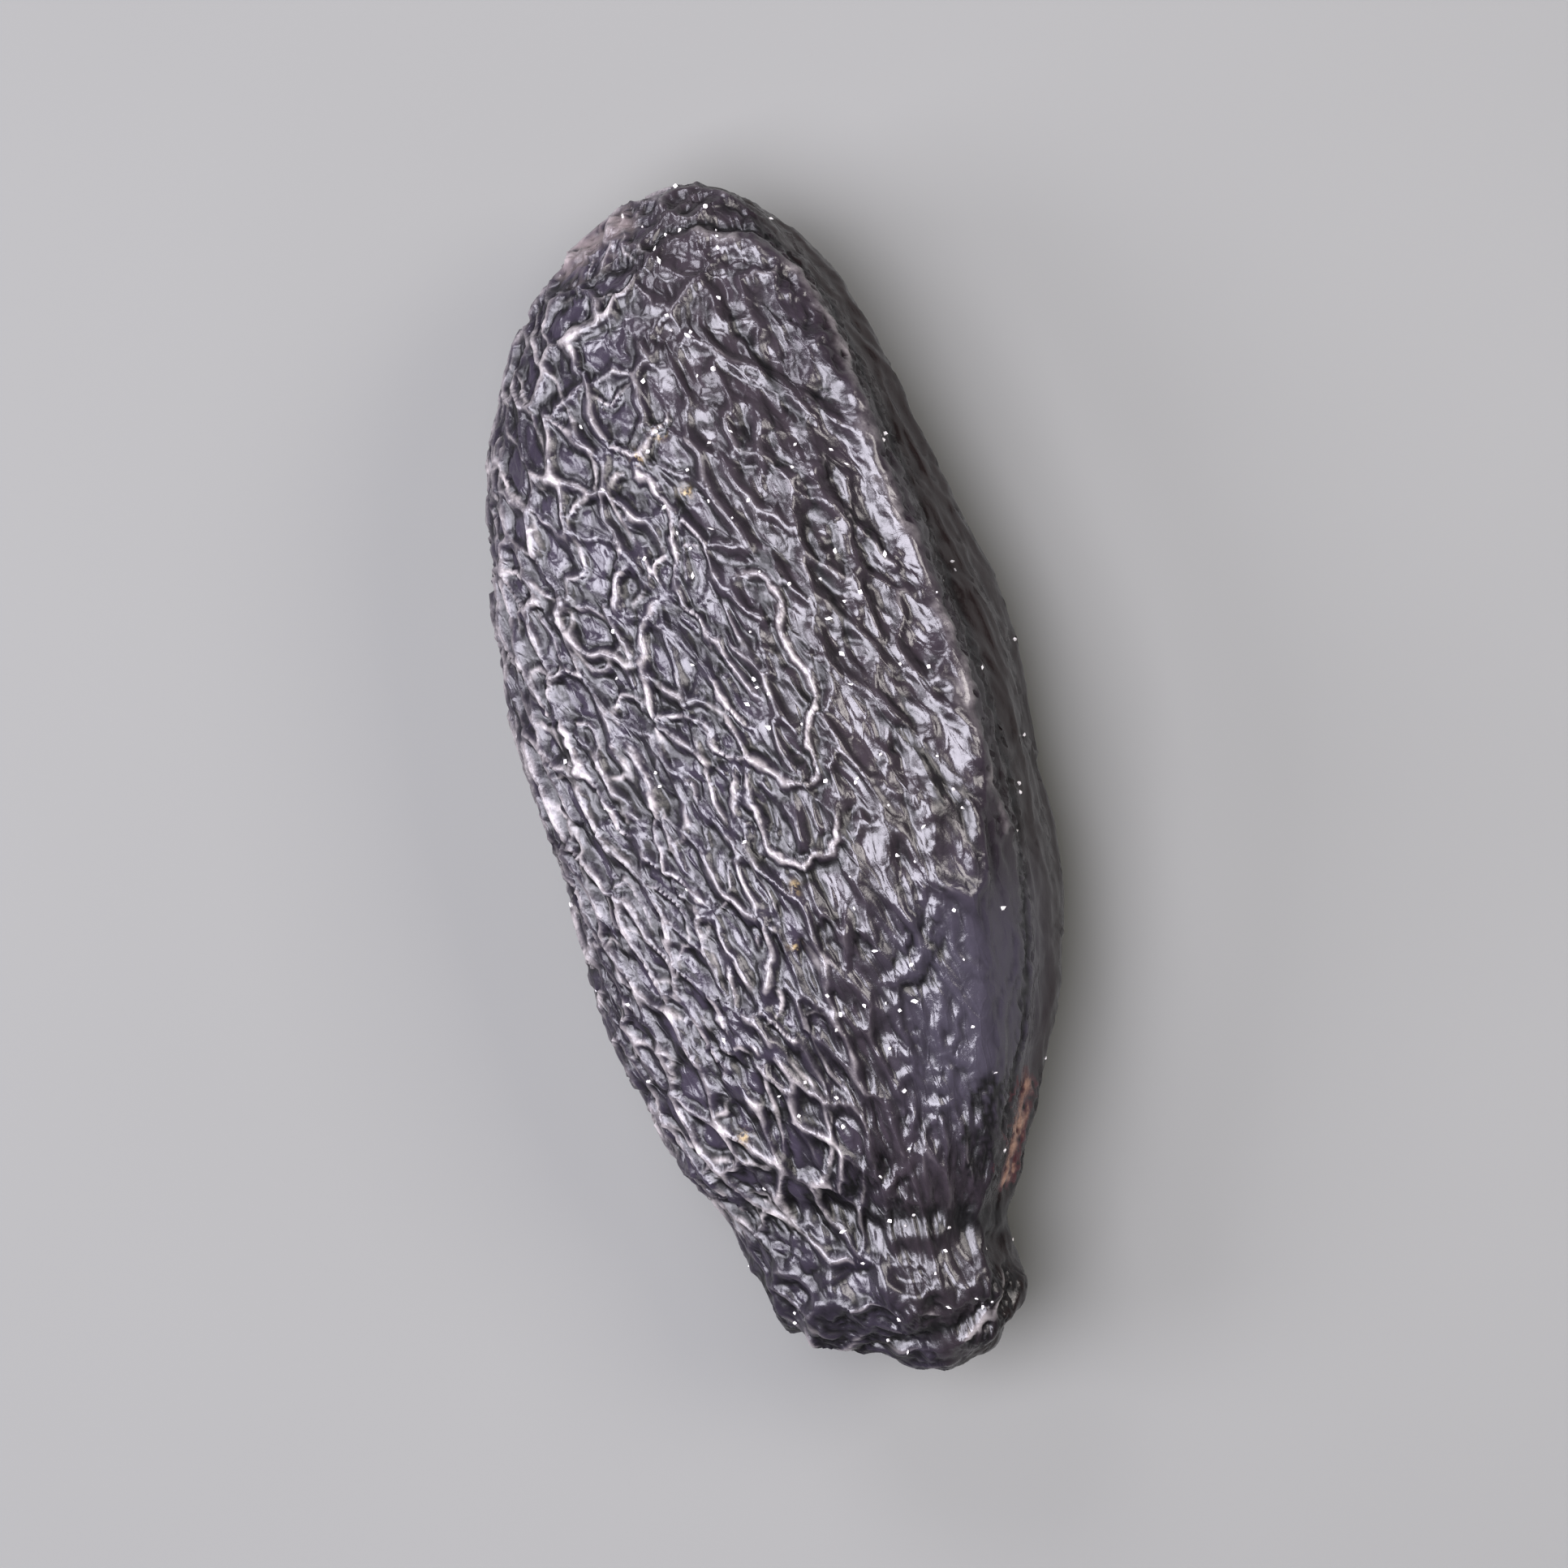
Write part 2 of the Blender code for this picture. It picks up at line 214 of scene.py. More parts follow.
# Broader, smooth and shiny ridges, in the same pixels: shoulder beside the flank, right face, knob.
SHOULDER = ((505, 118), (545, 140), (590, 160), (614, 190), (632, 232), (646, 280), (652, 330), (656, 390),
            (664, 450), (676, 520), (690, 590), (694, 660), (696, 730), (700, 790), (706, 850))
SHOULDER_HALF_WIDTH = 0.40 * MM
SHOULDER_HEIGHT = 0.26 * MM
SHINY_RIDGES = (
    ((585, 316), (597, 345), (612, 372)),
    ((577, 372), (588, 410), (600, 448), (612, 480), (616, 520), (606, 548)),
    ((548, 326), (542, 370), (534, 420)),
    ((600, 555), (601, 590)),
    ((600, 656), (616, 678), (627, 706), (634, 724)),
    ((590, 712), (601, 728), (596, 752)),
    ((618, 752), (624, 776), (628, 800), (618, 810)),
    ((494, 758), (490, 796), (500, 808)),
    ((530, 756), (528, 790)),
    ((604, 862), (602, 890)),
    ((575, 888), (586, 915), (585, 945), (566, 962), (542, 964)),
    ((517, 868), (512, 905), (506, 944)),
    ((540, 1044), (556, 1054)),
    ((588, 1062), (586, 1090)),
    ((544, 1098), (538, 1122), (526, 1136)),
    ((558, 1106), (578, 1110), (590, 1108)),
    ((526, 1160), (505, 1176), (482, 1192)),
    ((288, 1106), (302, 1130), (318, 1150), (334, 1164)),
    ((396, 1180), (404, 1204), (416, 1224)),
    ((604, 1286), (600, 1310), (590, 1332), (573, 1350), (552, 1363), (528, 1370)),
    ((368, 1310), (382, 1334), (402, 1344), (425, 1343), (445, 1328)),
    ((492, 1320), (512, 1330), (530, 1336)),
)
SHINY_HALF_WIDTH = 0.19 * MM
SHINY_HEIGHT = 0.18 * MM

# Seams between the shoulder and the flank, and across the round end: sunk, with painted shade in them.
SEAMS = (
    ((350, 158), (382, 150), (420, 148), (452, 140), (480, 126), (520, 116), (560, 126), (600, 148),
     (634, 196), (658, 252), (672, 330), (690, 420), (704, 520), (716, 620), (724, 720), (724, 800),
     (718, 880), (704, 960), (686, 1030), (664, 1084), (646, 1126), (626, 1166)),
    ((540, 205), (546, 240), (560, 276), (574, 320), (584, 360)),
    ((576, 440), (572, 500), (584, 560), (590, 620)),
    ((610, 690), (640, 740), (660, 790), (680, 830)),
    ((398, 1348), (440, 1358), (480, 1352), (524, 1350), (560, 1340)),
)
SEAM_HALF_WIDTH = 0.20 * MM
SEAM_DEPTH = 0.12 * MM
LINE_END = 0.15  # height and width of a listed line at its end, as a share
TAPER = 20.0  # pixels from its end over which it rises to the whole

# Torn and pale places, in the same pixels: a torn red edge, a tan lip at the round end whose pale tint is
# partly painted highlight, ochre flecks.
TORN_EDGE = ((673, 1088), (663, 1120), (648, 1152), (632, 1186), (613, 1226))
TORN_HALF_WIDTH = 0.46 * MM
TORN_HEIGHT = 0.06 * MM
TAN_LIP = ((352, 146), (372, 126), (404, 110), (436, 98), (470, 88))
LIP_HALF_WIDTH = 0.50 * MM
FLECKS = ((438, 336), (408, 354), (450, 402), (358, 1096), (470, 842), (456, 906))
FLECK_RADIUS = 0.15 * MM

# The middle of the bean in those pixels, and how many of them a metre is.
UPRIGHT_MIDDLE = (485.0, 732.5)
UPRIGHT_PER_METRE = 36.53 / MM
SKIN_MIDDLE = np.array([0.0, 0.0, 0.2]) * MM  # middle of the skin's box before it is stood on the floor

# How far long and short waves bend the net's walls on the ball.
BEND_SEED = 41
BEND_WAVES = 16
BEND_LENGTH = 0.15
BEND_REACH = 0.016
KINK_LENGTH = 0.055
KINK_REACH = 0.0050

# How far waves push listed lines about, and the shorter waves on top, as shares of the first.
PLACE_KINK_SEED = 131
PLACE_KINK_LENGTH = 0.75 * MM
PLACE_KINK_REACH = 2.5  # pixels
SHORT_KINK_SHARE = 0.5
SHORT_KINK_LENGTH = 0.42

# Small unevenness of the skin between the walls.
GRAIN_SEED = 67
GRAIN_WAVES = 40
GRAIN_LENGTH = 1.1 * MM
GRAIN_HEIGHT = 0.035 * MM
CELL_STEP = 0.09 * MM  # difference in height between the lowest and the highest cell

# Bumps and pits of the knob.
KNOB_SEED = 71
KNOB_WAVES = 24
KNOB_LENGTH = 1.6 * MM
KNOB_STEEPNESS = 1.5
KNOB_HEIGHT = 0.18 * MM

# Shares of a line's height that are left where the skin is smooth, or beside bolder lines.
FOLD_LEAST = 0.2
SHINY_LEAST = 0.4
GRAIN_LEAST = 0.3
NET_NEAR_BOLD = 0.25

# Shares that are lost under the net, on the right face and on the knob.
FOLD_LOST_UNDER_NET = 0.6
NET_LOST_ON_RIGHT = 0.45
FOLD_LOST_ON_RIGHT = 0.35
NET_LOST_ON_KNOB = 0.35

# Depth of grooves on the knob, more than the usual one, and beside shiny ridges and the torn edge.
GROOVE_MORE_ON_KNOB = 0.5
SHINY_GROOVE = 0.5
TORN_GROOVE = 0.25

# How pale a line is painted, partly as a worn grey bloom and partly as painted highlight: folds less on the
# knob and the right face, shiny ridges more on the knob. On the shiny ridges and the shoulder the paleness
# is painted highlight.
FOLD_DARKER_ON_KNOB = 0.8
FOLD_DARKER_ON_RIGHT = 0.6
SHINY_PAINTED_HIGHLIGHT = 0.45
SHINY_PAINTED_HIGHLIGHT_ON_KNOB = 0.38
SHOULDER_PAINTED_HIGHLIGHT = 0.60

# How strongly painted shade darkens the grooves between lines, the seams and the knob's crease, and how much
# the knob is darkened all over.
NET_GROOVE_SHADE = 0.9
SEAM_SHADE = 0.7
SUNK_SHADE = 1.5
CREASE_LINE_SHADE = 0.6
KNOB_DARK = 0.25

# Grid of the skin: rows from pole to pole along X, columns round it, closer together on the upper side.
ROWS = 306
COLUMNS = 324
UPPER_SHARE = 0.50  # radians by which the columns are drawn up
OUTLINE_STEPS = 4000  # points over which the outline's length is added up
SNAP_REACH = 0.48  # share of a grid step over which the grid's points are moved onto a line

# Distances that stand for no wall and for no listed line near, and the least that is divided by.
NO_WALL = 9.0
FAR_PIXELS = 1e4
UPPER_SIDE = -0.1  # lowest height on the ball that listed lines reach
LEAST_PIXELS = 1e-6
LEAST_AREA = 1e-16

# Large uneven factors that mix whole numbers into a repeatable draw.
DRAW_FACTORS = (12.9898, 78.233, 37.719)
DRAW_GAIN = 43758.5453
CELL_STEP_DRAW = 3  # sets the draw of each cell's height apart from that of its walls

# Crystals: where they are wanted, relative to the skin high up on the body, and their shape.
CRYSTAL_SEED = 83
CRYSTALS = 175
CRYSTAL_SIZE = (0.045 * MM, 0.15 * MM)  # half lengths
CRYSTAL_SIDES = 6
CRYSTAL_WAIST = 0.62
CRYSTAL_ZIGZAG = 0.25  # of the corners round the waist, up and down
CRYSTALS_LOW_DOWN = 0.35
HIGH_UP = 0.4 * THICKEST
CRYSTALS_FROM = 0.6 * MM  # none lower than this
CRYSTAL_KNOB = -0.7  # the knob's crystals lie before this place, and the round end's past the next
CRYSTAL_END = 0.85
MORE_ON_KNOB_AS_GLINTS = 1.5  # added to 1 there: these white crystals also stand in for glints, as painted highlights
MORE_ON_RIGHT = 2.5
MORE_ON_END = 0.5

# What the seed coat's material reads from the skin, and its noises: name, real size, detail and roughness.
COAT_SHARES = ("crest", "hollow", "flank", "smooth_patch", "knob", "right_face", "torn", "lip_tint_and_highlight", "fleck")
COAT_NOISES = (
    ("mottle", 2.6 * MM, 4.0, 0.60),
    ("wear_and_highlight", 0.85 * MM, 5.0, 0.72),
    ("dust", 0.30 * MM, 5.0, 0.65),
    ("pores", 0.10 * MM, 3.0, 0.60),
)
HAIR_WRINKLE_SCALE = 19.0  # cells across the ball's unit: 0.4 mm round the bean and 1 mm along it
HAIR_WRINKLE_DEPTH = 0.008 * MM
HAIR_WRINKLES_LOST = 0.85  # on the flank and the knob
DUST_DEPTH = 0.014 * MM
PORE_DEPTH = 0.004 * MM
RIGHT_TINT = 0.55
# The lip's pale tint is partly its own tan and partly painted highlight.
LIP_TINT_AND_HIGHLIGHT = 0.5
KNOB_PAINTED_HIGHLIGHT = 0.60  # least pale paint on the knob's ridges, which is painted highlight
HOLLOW_DULLNESS = 0.18  # roughness that hollows have on top
TEAR_RAGGED = 1.1  # how much a broad noise frays the torn edge
TEAR_CORE_RAGGED = 0.7  # how much a fine one frays its pale core

# Lights: name, place and size in metres, radiance and colour. The world is a dim even grey round them.
SOFTBOXES = (
    ("overhead_softbox", (0.0, 0.045, 0.28), 0.18, 18.5, "#f4f1ff"),
    ("left_softbox", (0.03, 0.21, 0.17), 0.12, 13.0, "#f4f1ff"),
    ("end_softbox", (0.20, 0.03, 0.17), 0.10, 11.0, "#f4f1ff"),
    ("right_softbox", (0.02, -0.19, 0.20), 0.11, 11.0, "#fff8f4"),
)
WORLD_COLOUR = "#d8dade"
WORLD_STRENGTH = 0.14
FLOOR_RADIUS = 3.0
FLOOR_SIDES = 96

# The photograph's frame round this bean. It is square, and the bean leans to the left in it.
PHOTO_BEAN_LENGTH = 657.0  # pixels
PHOTO_FRAME = 850.0  # pixels, the side of the square round the bean that is rendered
VIEW_ELEVATION = 82.0  # degrees above the horizon
VIEW_LEAN = 13.0  # degrees
LENS = 150.0  # mm, for a view with little perspective
SENSOR = 36.0  # mm
CLIP_START = 5 * MM
CLIP_END = 20.0


def through(places, values, at):
    """A smooth curve through values at stated places, read at others: cubic pieces whose slopes match."""
    slopes = np.gradient(values, places)
    left = np.clip(np.searchsorted(places, at) - 1, 0, len(places) - 2)
    gap = places[left + 1] - places[left]
    t = (at - places[left]) / gap
    return (
        (1 + 2 * t) * (1 - t) ** 2 * values[left]
        + t * (1 - t) ** 2 * gap * slopes[left]
        + t * t * (3 - 2 * t) * values[left + 1]
        + t * t * (t - 1) * gap * slopes[left + 1]
    )


def unit(points):
    """Each row scaled to length 1."""
    return points / np.linalg.norm(points, axis=1)[:, None]


def waves(points, seed, count, length, steepness=1.0):
    """Smooth random waves through space, about -1 to 1: a sum of sines in drawn directions.

    A steepness above 1 takes more of the points near the highs and the lows.
    """
    draw = np.random.default_rng(seed)
    directions = unit(draw.normal(size=(count, 3)))
    lengths = length * draw.uniform(*WAVE_SPREAD, count)
    phases = draw.uniform(0, 2 * np.pi, count)
    total = np.sin(points @ (directions * (2 * np.pi / lengths)[:, None]).T + phases).sum(axis=1)
    return np.tanh(steepness * total / np.sqrt(count / 2) / WAVE_PEAK)


def around(ball):
    """Turn about X of each direction, in radians from +Y towards +Z."""
    return np.arctan2(ball[:, 2], ball[:, 1])


def turn_gap(turn, degrees):
    """Angle between each turn and a stated one, in degrees, from -180 to 180."""
    return (np.degrees(turn) - degrees + 180) % 360 - 180


def body(ball):
    """The bean without its net: a squarish oval section, |y|^n + |z|^n = 1, carried along the stations."""
    place = np.clip(ball[:, 0], -1, 1)
    ring = np.sqrt(np.maximum(1 - place**2, 0))
    turn = around(ball)
    c, s = np.cos(turn), np.sin(turn)
    reach = (np.abs(c) ** BOXINESS + np.abs(s) ** BOXINESS) ** (-1 / BOXINESS)
    half_width = WIDEST / 2 * through(PLACES, HALF_WIDTH, place)
    half_thick = THICKEST / 2 * through(PLACES, HALF_THICK, place) * (1 - THIN_SIDE * c * (1 + s))
    return np.column_stack(
        [
            LENGTH / 2 * place,
            -through(PLACES, LEAN, place) + half_width * ring * reach * c,
            END_LIFT * place**2 + half_thick * ring * reach * s,
        ]
    )


def sides(ball):
    """Two directions square to each point of the ball and to each other."""
    first = unit(np.cross(ball, SLANT))
    return first, np.cross(ball, first)


def change(ball, side, shape):
    """How a shape drawn on the ball changes along one side direction."""
    step = SLOPE_STEP * side
    return (shape(unit(ball + step)) - shape(unit(ball - step))) / (2 * SLOPE_STEP)


def outward(ball, shape):
    """Unit normals of a shape drawn on the ball: the cross product of its changes along two directions."""
    first, second = sides(ball)
    return unit(np.cross(change(ball, first, shape), change(ball, second, shape)))


def away_from_rest(ball):
    """0 over the spot that the bean rests on, rising to 1 around it."""
    along = ball[:, 0] / REST_REACH
    aside = turn_gap(around(ball), 270.0) / REST_TURN
    return 1 - np.exp(-((along**2 + aside**2) ** 3))


def from_crease(ball):
    """How far each point is from the slanting crease that sets the knob off, along X."""
    return ball[:, 0] - (CREASE_PLACE + CREASE_SLANT * np.cos(around(ball)))


def folds(ball):
    """Height of what is broader than the net: the flank's ribs, the knob's crease and the lumps."""
    turn = around(ball)
    ring = np.sqrt(np.maximum(1 - ball[:, 0] ** 2, 0))
    height = np.zeros(len(ball))
    for degrees, rise, half_width in FLANK_LINES:
        drift = FLANK_DRIFT * np.sin(FLANK_WAVES * ball[:, 0] + degrees)
        height += rise * ring**1.5 * np.exp(-((turn_gap(turn, degrees + drift) / half_width) ** 2))
    height -= CREASE_DEPTH * np.exp(-((from_crease(ball) / CREASE_WIDTH) ** 2))
    lumps = LUMP_HEIGHT * waves(body(ball), LUMP_SEED, LUMP_WAVES, LUMP_LENGTH)
    return height + lumps * away_from_rest(ball)


def on_flank(ball):
    """1 on the smooth flank, 0 on the broad faces."""
    return np.exp(-((turn_gap(around(ball), FLANK_TURN) / FLANK_REACH) ** 4))


def on_smooth_patch(ball):
    """1 on the smooth grey patch between the broad face and the flank, near the knob."""
    aside = turn_gap(around(ball), PATCH_TURN) / PATCH_REACH
    return np.exp(-(((ball[:, 0] - PATCH_PLACE) / PATCH_LENGTH) ** 4) - aside**4)


def on_knob(ball):
    """1 on the knob, 0 on the rest."""
    return np.clip((KNOB_LOOK_PLACE - ball[:, 0]) / KNOB_LOOK_FADE, 0, 1)


def on_right_face(ball):
    """1 on the right face, which is wider at the round end: its wrinkles are longer and lower."""
    to_end = np.clip(ball[:, 0], 0, 1) ** 2
    aside = turn_gap(around(ball), 0.0) - (RIGHT_TURN + RIGHT_TURN_AT_END * to_end)
    reach = RIGHT_REACH + RIGHT_REACH_AT_END * to_end
    return np.exp(-((aside / reach) ** 4)) * (1 - on_smooth_patch(ball))


def on_left_face(ball):
    """1 on the left face: its wrinkles are closer together."""
    return np.exp(-((turn_gap(around(ball), LEFT_TURN) / LEFT_REACH) ** 4))


def net_strength(ball):
    """How strongly the net stands up, from 0 to 1: full on the broad faces, faint on the smooth flank."""
    off_knob = np.clip((ball[:, 0] - KNOB_PLACE) / KNOB_FADE, 0, 1)
    smooth = SMOOTH_FLANK * on_flank(ball) + SMOOTH_PATCH * on_smooth_patch(ball)
    strength = np.clip(1 - smooth, NET_FAINTEST, 1)
    return strength * (NET_ON_KNOB + (1 - NET_ON_KNOB) * off_knob) * away_from_rest(ball)


def smooth_skin(ball):
    """The bean with its broad folds, and no net."""
    return body(ball) + folds(ball)[:, None] * outward(ball, body)


def scattered_points(count, seed):
    """Points spread evenly on the ball along a golden spiral, then pushed about a little."""
    draw = np.random.default_rng(seed)
    number = np.arange(count) + 0.5
    place = 1 - 2 * number / count
    turn = number * np.pi * (3 - np.sqrt(5))
    ring = np.sqrt(1 - place**2)
    points = np.column_stack([place, ring * np.cos(turn), ring * np.sin(turn)])
    points += draw.normal(size=points.shape) * NET_SCATTER * np.sqrt(4 * np.pi / count) / np.sqrt(3)
    return unit(points)


def twist_at(ball, turn):
    """Turn that the net has at a place along the bean: even, with more on the +Y half of the broad face."""
    left = np.exp(-((turn_gap(turn, TWIST_LEFT_TURN) / TWIST_LEFT_REACH) ** 2))
    return ball[:, 0] * (NET_TWIST + NET_TWIST_LEFT * left)


def turned(ball, turn):
    """The ball's points at the same place along X and at another turn about it."""
    ring = np.sqrt(np.maximum(1 - ball[:, 0] ** 2, 0))
    return np.column_stack([ball[:, 0], ring * np.cos(turn), ring * np.sin(turn)])


def on_net(ball):
    """The net's own ball under each point of the bean: turned back by the net's twist, then bent by waves.

    The twist depends on the turn before it, so that turn is found by repeated substitution.
    """
    turn = around(ball)
    net_turn = turn
    for _ in range(TWIST_ROUNDS):
        net_turn = turn - twist_at(ball, net_turn)
    net = turned(ball, net_turn)
    bend = np.column_stack([waves(net, BEND_SEED + axis, BEND_WAVES, BEND_LENGTH) for axis in range(3)])
    kink = np.column_stack([waves(net, BEND_SEED + 3 + axis, BEND_WAVES, KINK_LENGTH) for axis in range(3)])
    return unit(net + BEND_REACH * bend + KINK_REACH * kink)


def neighbour_pairs(points):
    """Pairs of neighbouring points, from the edges of the hull round them all, in order."""
    net = bmesh.new()
    for point in points:
        net.verts.new(point)
    bmesh.ops.convex_hull(net, input=list(net.verts))
    bmesh.ops.triangulate(net, faces=list(net.faces))
    net.verts.index_update()
    pairs = sorted(tuple(sorted(v.index for v in edge.verts)) for edge in net.edges)
    net.free()
    return pairs


def joined_cells(points, seed, along, around_it, most):
    """Gives each cell the number of its group: cells with no wall between them share one."""
    pairs = neighbour_pairs(points)
    draw = np.random.default_rng(seed)
    group = np.arange(len(points))
    size = np.ones(len(points), int)
    for (a, b), chance in zip(pairs, draw.random(len(pairs))):
        gap = np.abs(points[a] - points[b])
        across = gap[0] > NET_ACROSS * np.linalg.norm(gap)
        wanted = along if across else around_it
        one, other = group[a], group[b]
        if chance < wanted and one != other and size[one] + size[other] <= most:
            size[one] += size[other]
            group[group == other] = one
    return group


def drawn(*numbers):
    """A repeatable draw from 0 to 1 for each set of whole numbers: the fraction left by a large sine."""
    mixed = sum(number * factor for number, factor in zip(numbers, DRAW_FACTORS))
    value = np.sin(mixed) * DRAW_GAIN
    return value - np.floor(value)


def inverse_stretch(ball):
    """The inverse of the metric that turns steps along the ball's two side directions into real lengths."""
    first, second = sides(ball)
    along, across = change(ball, first, body), change(ball, second, body)
    e, f, g = (along * along).sum(1), (along * across).sum(1), (across * across).sum(1)
    spread = np.maximum(e * g - f * f, LEAST_AREA)
    return g / spread, -f / spread, e / spread


def real_slope(a, b, stretch):
    """How fast something changes per metre of skin, from its changes along the two side directions."""
    return np.sqrt(a * a * stretch[0] + 2 * a * b * stretch[1] + b * b * stretch[2])


def nearest_cells(net, cells):
    """Numbers of the cells nearest each point of the net, the nearest first."""
    margin = CELL_REACH * np.sqrt(4 * np.pi / len(cells))
    found = np.zeros((len(net), CELLS_TRIED), int)
    for start in range(0, len(net), BATCH):
        part = net[start : start + BATCH]
        low, high = part[:, 0].min() - margin, part[:, 0].max() + margin
        close = np.flatnonzero((cells[:, 0] > low) & (cells[:, 0] < high))
        near = part @ cells[close].T
        ranked = np.argpartition(-near, CELLS_TRIED, axis=1)[:, :CELLS_TRIED]
        order = np.argsort(-np.take_along_axis(near, ranked, axis=1), axis=1)
        found[start : start + BATCH] = close[np.take_along_axis(ranked, order, axis=1)]
    return found


def borders(net, cells, group):
    """The planes halfway between each point's own cell and the next: normals, distances, and both cells.

    Where two cells are joined there is no wall, and the distance is made large.
    """
    ranked = nearest_cells(net, cells)
    home, others = ranked[:, :1], ranked[:, 1:]
    across = cells[home] - cells[others]
    across /= np.linalg.norm(across, axis=2)[:, :, None]
    distance = (across * net[:, None, :]).sum(axis=2)
    distance = np.where(group[home] == group[others], NO_WALL, distance)
    return across, distance, home, others


def net_changes(ball):
    """How the net's own ball changes along the bean ball's two side directions."""
    first, second = sides(ball)
    return change(ball, first, on_net), change(ball, second, on_net)


def ridge(away):
    """A ridge, from the distance to its line in half widths."""
    return np.exp(-(np.abs(away) ** SHARPNESS))


def groove_beside(away):
    """A groove along both sides of a ridge: a bell of the distance, with its middle beside the ridge."""
    return np.exp(-(((np.abs(away) - GROOVE_PLACE) / GROOVE_WIDTH) ** 2))


def walls(ball, cells, group, widening):
    """Crests on the borders between cells, grooves beside them and broad rises under them, from 0 to 1, and
    each point's group.

    A crest falls off as a bell with the real distance from its border, and a groove is a bell beside it.
    Each border has its own drawn height.
    """
    stretch = [part[:, None] for part in inverse_stretch(ball)]
    first, second = net_changes(ball)
    across, distance, home, others = borders(on_net(ball), cells, group)
    a = (across * first[:, None, :]).sum(axis=2)
    b = (across * second[:, None, :]).sum(axis=2)
    real = distance / real_slope(a, b, stretch)
    chance = drawn(np.minimum(home, others), np.maximum(home, others), NET_SEED)
    height = NET_WEAKEST + (1 - NET_WEAKEST) * chance
    away = real / (NET_HALF_WIDTH * widening[:, None])
    crest = (ridge(away) * height).max(axis=1)
    groove = (groove_beside(away) * height).max(axis=1)
    skirt = (np.exp(-((real / NET_SKIRT) ** 2)) * height).max(axis=1)
    return crest, groove * (1 - crest), skirt, group[home[:, 0]]


def moved_onto(ball, a, b, distance):
    """Moves the grid's points that are the nearest to a line onto it, so that crests run along grid edges.

    A point moves square to the line, if its distance is under about half of what the distance changes from
    one grid point to the next, along its row or its column, whichever is more.
    """
    first, second = sides(ball)
    square = first * a[:, None] + second * b[:, None]
    grid = ball[:-2].reshape(ROWS, COLUMNS, 3)
    slope = square[:-2].reshape(ROWS, COLUMNS, 3)
    along = np.abs(((np.roll(grid, -1, axis=1) - np.roll(grid, 1, axis=1)) / 2 * slope).sum(axis=2))
    down = np.abs((np.gradient(grid, axis=0) * slope).sum(axis=2))
    reach = np.append(SNAP_REACH * np.maximum(along, down).ravel(), [0, 0])
    moved = np.where(np.abs(distance) < reach, distance, 0.0) / (square * square).sum(axis=1)
    return unit(ball - square * moved[:, None])


def drawn_to_walls(ball, cells, group):
    """Moves the grid onto the walls of the net."""
    first, second = net_changes(ball)
    across, distance, _, _ = borders(on_net(ball), cells, group)
    nearest = distance.argmin(axis=1)[:, None]
    across = np.take_along_axis(across, nearest[:, :, None], axis=1)[:, 0]
    distance = np.take_along_axis(distance, nearest, axis=1)[:, 0]
    return moved_onto(ball, (across * first).sum(axis=1), (across * second).sum(axis=1), distance)


def drawn_to_folds(ball):
    """Moves the grid onto the fold lines."""
    total, a, b = fold_field(ball)
    return moved_onto(ball, a, b, total)


def curve(points, steps=2):
    """A smooth curve through given points, as more points."""
    number = np.arange(len(points))
    at = np.linspace(0, len(points) - 1, steps * (len(points) - 1) + 1)
    return np.column_stack([through(number, np.array(points, float)[:, axis], at) for axis in (0, 1)])


def upright_place(ball):
    """Where each point stands in the photograph turned upright, in its pixels: right and down."""
    points = smooth_skin(ball) - SKIN_MIDDLE
    elevation = np.radians(VIEW_ELEVATION)
    right = -np.sin(elevation) * points[:, 1] - np.cos(elevation) * points[:, 2]
    kink = [waves(points, PLACE_KINK_SEED + axis, BEND_WAVES, PLACE_KINK_LENGTH) for axis in (0, 1)]
    short_length = SHORT_KINK_LENGTH * PLACE_KINK_LENGTH
    for axis in (0, 1):
        kink[axis] += SHORT_KINK_SHARE * waves(points, PLACE_KINK_SEED + 2 + axis, BEND_WAVES, short_length)
    return np.column_stack(
        [
            UPRIGHT_MIDDLE[0] + UPRIGHT_PER_METRE * right + PLACE_KINK_REACH * kink[0],
            UPRIGHT_MIDDLE[1] - UPRIGHT_PER_METRE * points[:, 0] + PLACE_KINK_REACH * kink[1],
        ]
    )


def from_curves(ball, place, curves):
    """The shortest way from the curves to each point of the upper side, in pixels, and how far that is from
    the curve's nearer end. Elsewhere the way is long.
    """
    way = np.tile([FAR_PIXELS, 0.0], (len(place), 1))
    to_end = np.zeros(len(place))
    upper = np.flatnonzero(ball[:, 2] > UPPER_SIDE)
    seen, near, near_end = place[upper], way[upper], to_end[upper]
    shortest = np.full(len(upper), FAR_PIXELS**2)
    for line in curves:
        lengths = np.linalg.norm(np.diff(line, axis=0), axis=1)
        before = np.concatenate([[0], np.cumsum(lengths)])
        for number, (start, end) in enumerate(zip(line[:-1], line[1:])):
            step = end - start
            share = np.clip((seen - start) @ step / (step @ step), 0, 1)
            offset = seen - start - share[:, None] * step
            length = (offset**2).sum(axis=1)
            closer = length < shortest
            run = before[number] + share[closer] * lengths[number]
            shortest[closer] = length[closer]
            near[closer] = offset[closer]
            near_end[closer] = np.minimum(run, before[-1] - run)
    way[upper], to_end[upper] = near, near_end
    return way, to_end


def seen_from_above(ball):
    """What listed lines need: each point's place in the upright photograph, how that place changes
    along the ball's two side directions, and the inverse metric.
    """
    first, second = sides(ball)
    changes = change(ball, first, upright_place), change(ball, second, upright_place)
    return upright_place(ball), changes, inverse_stretch(ball)


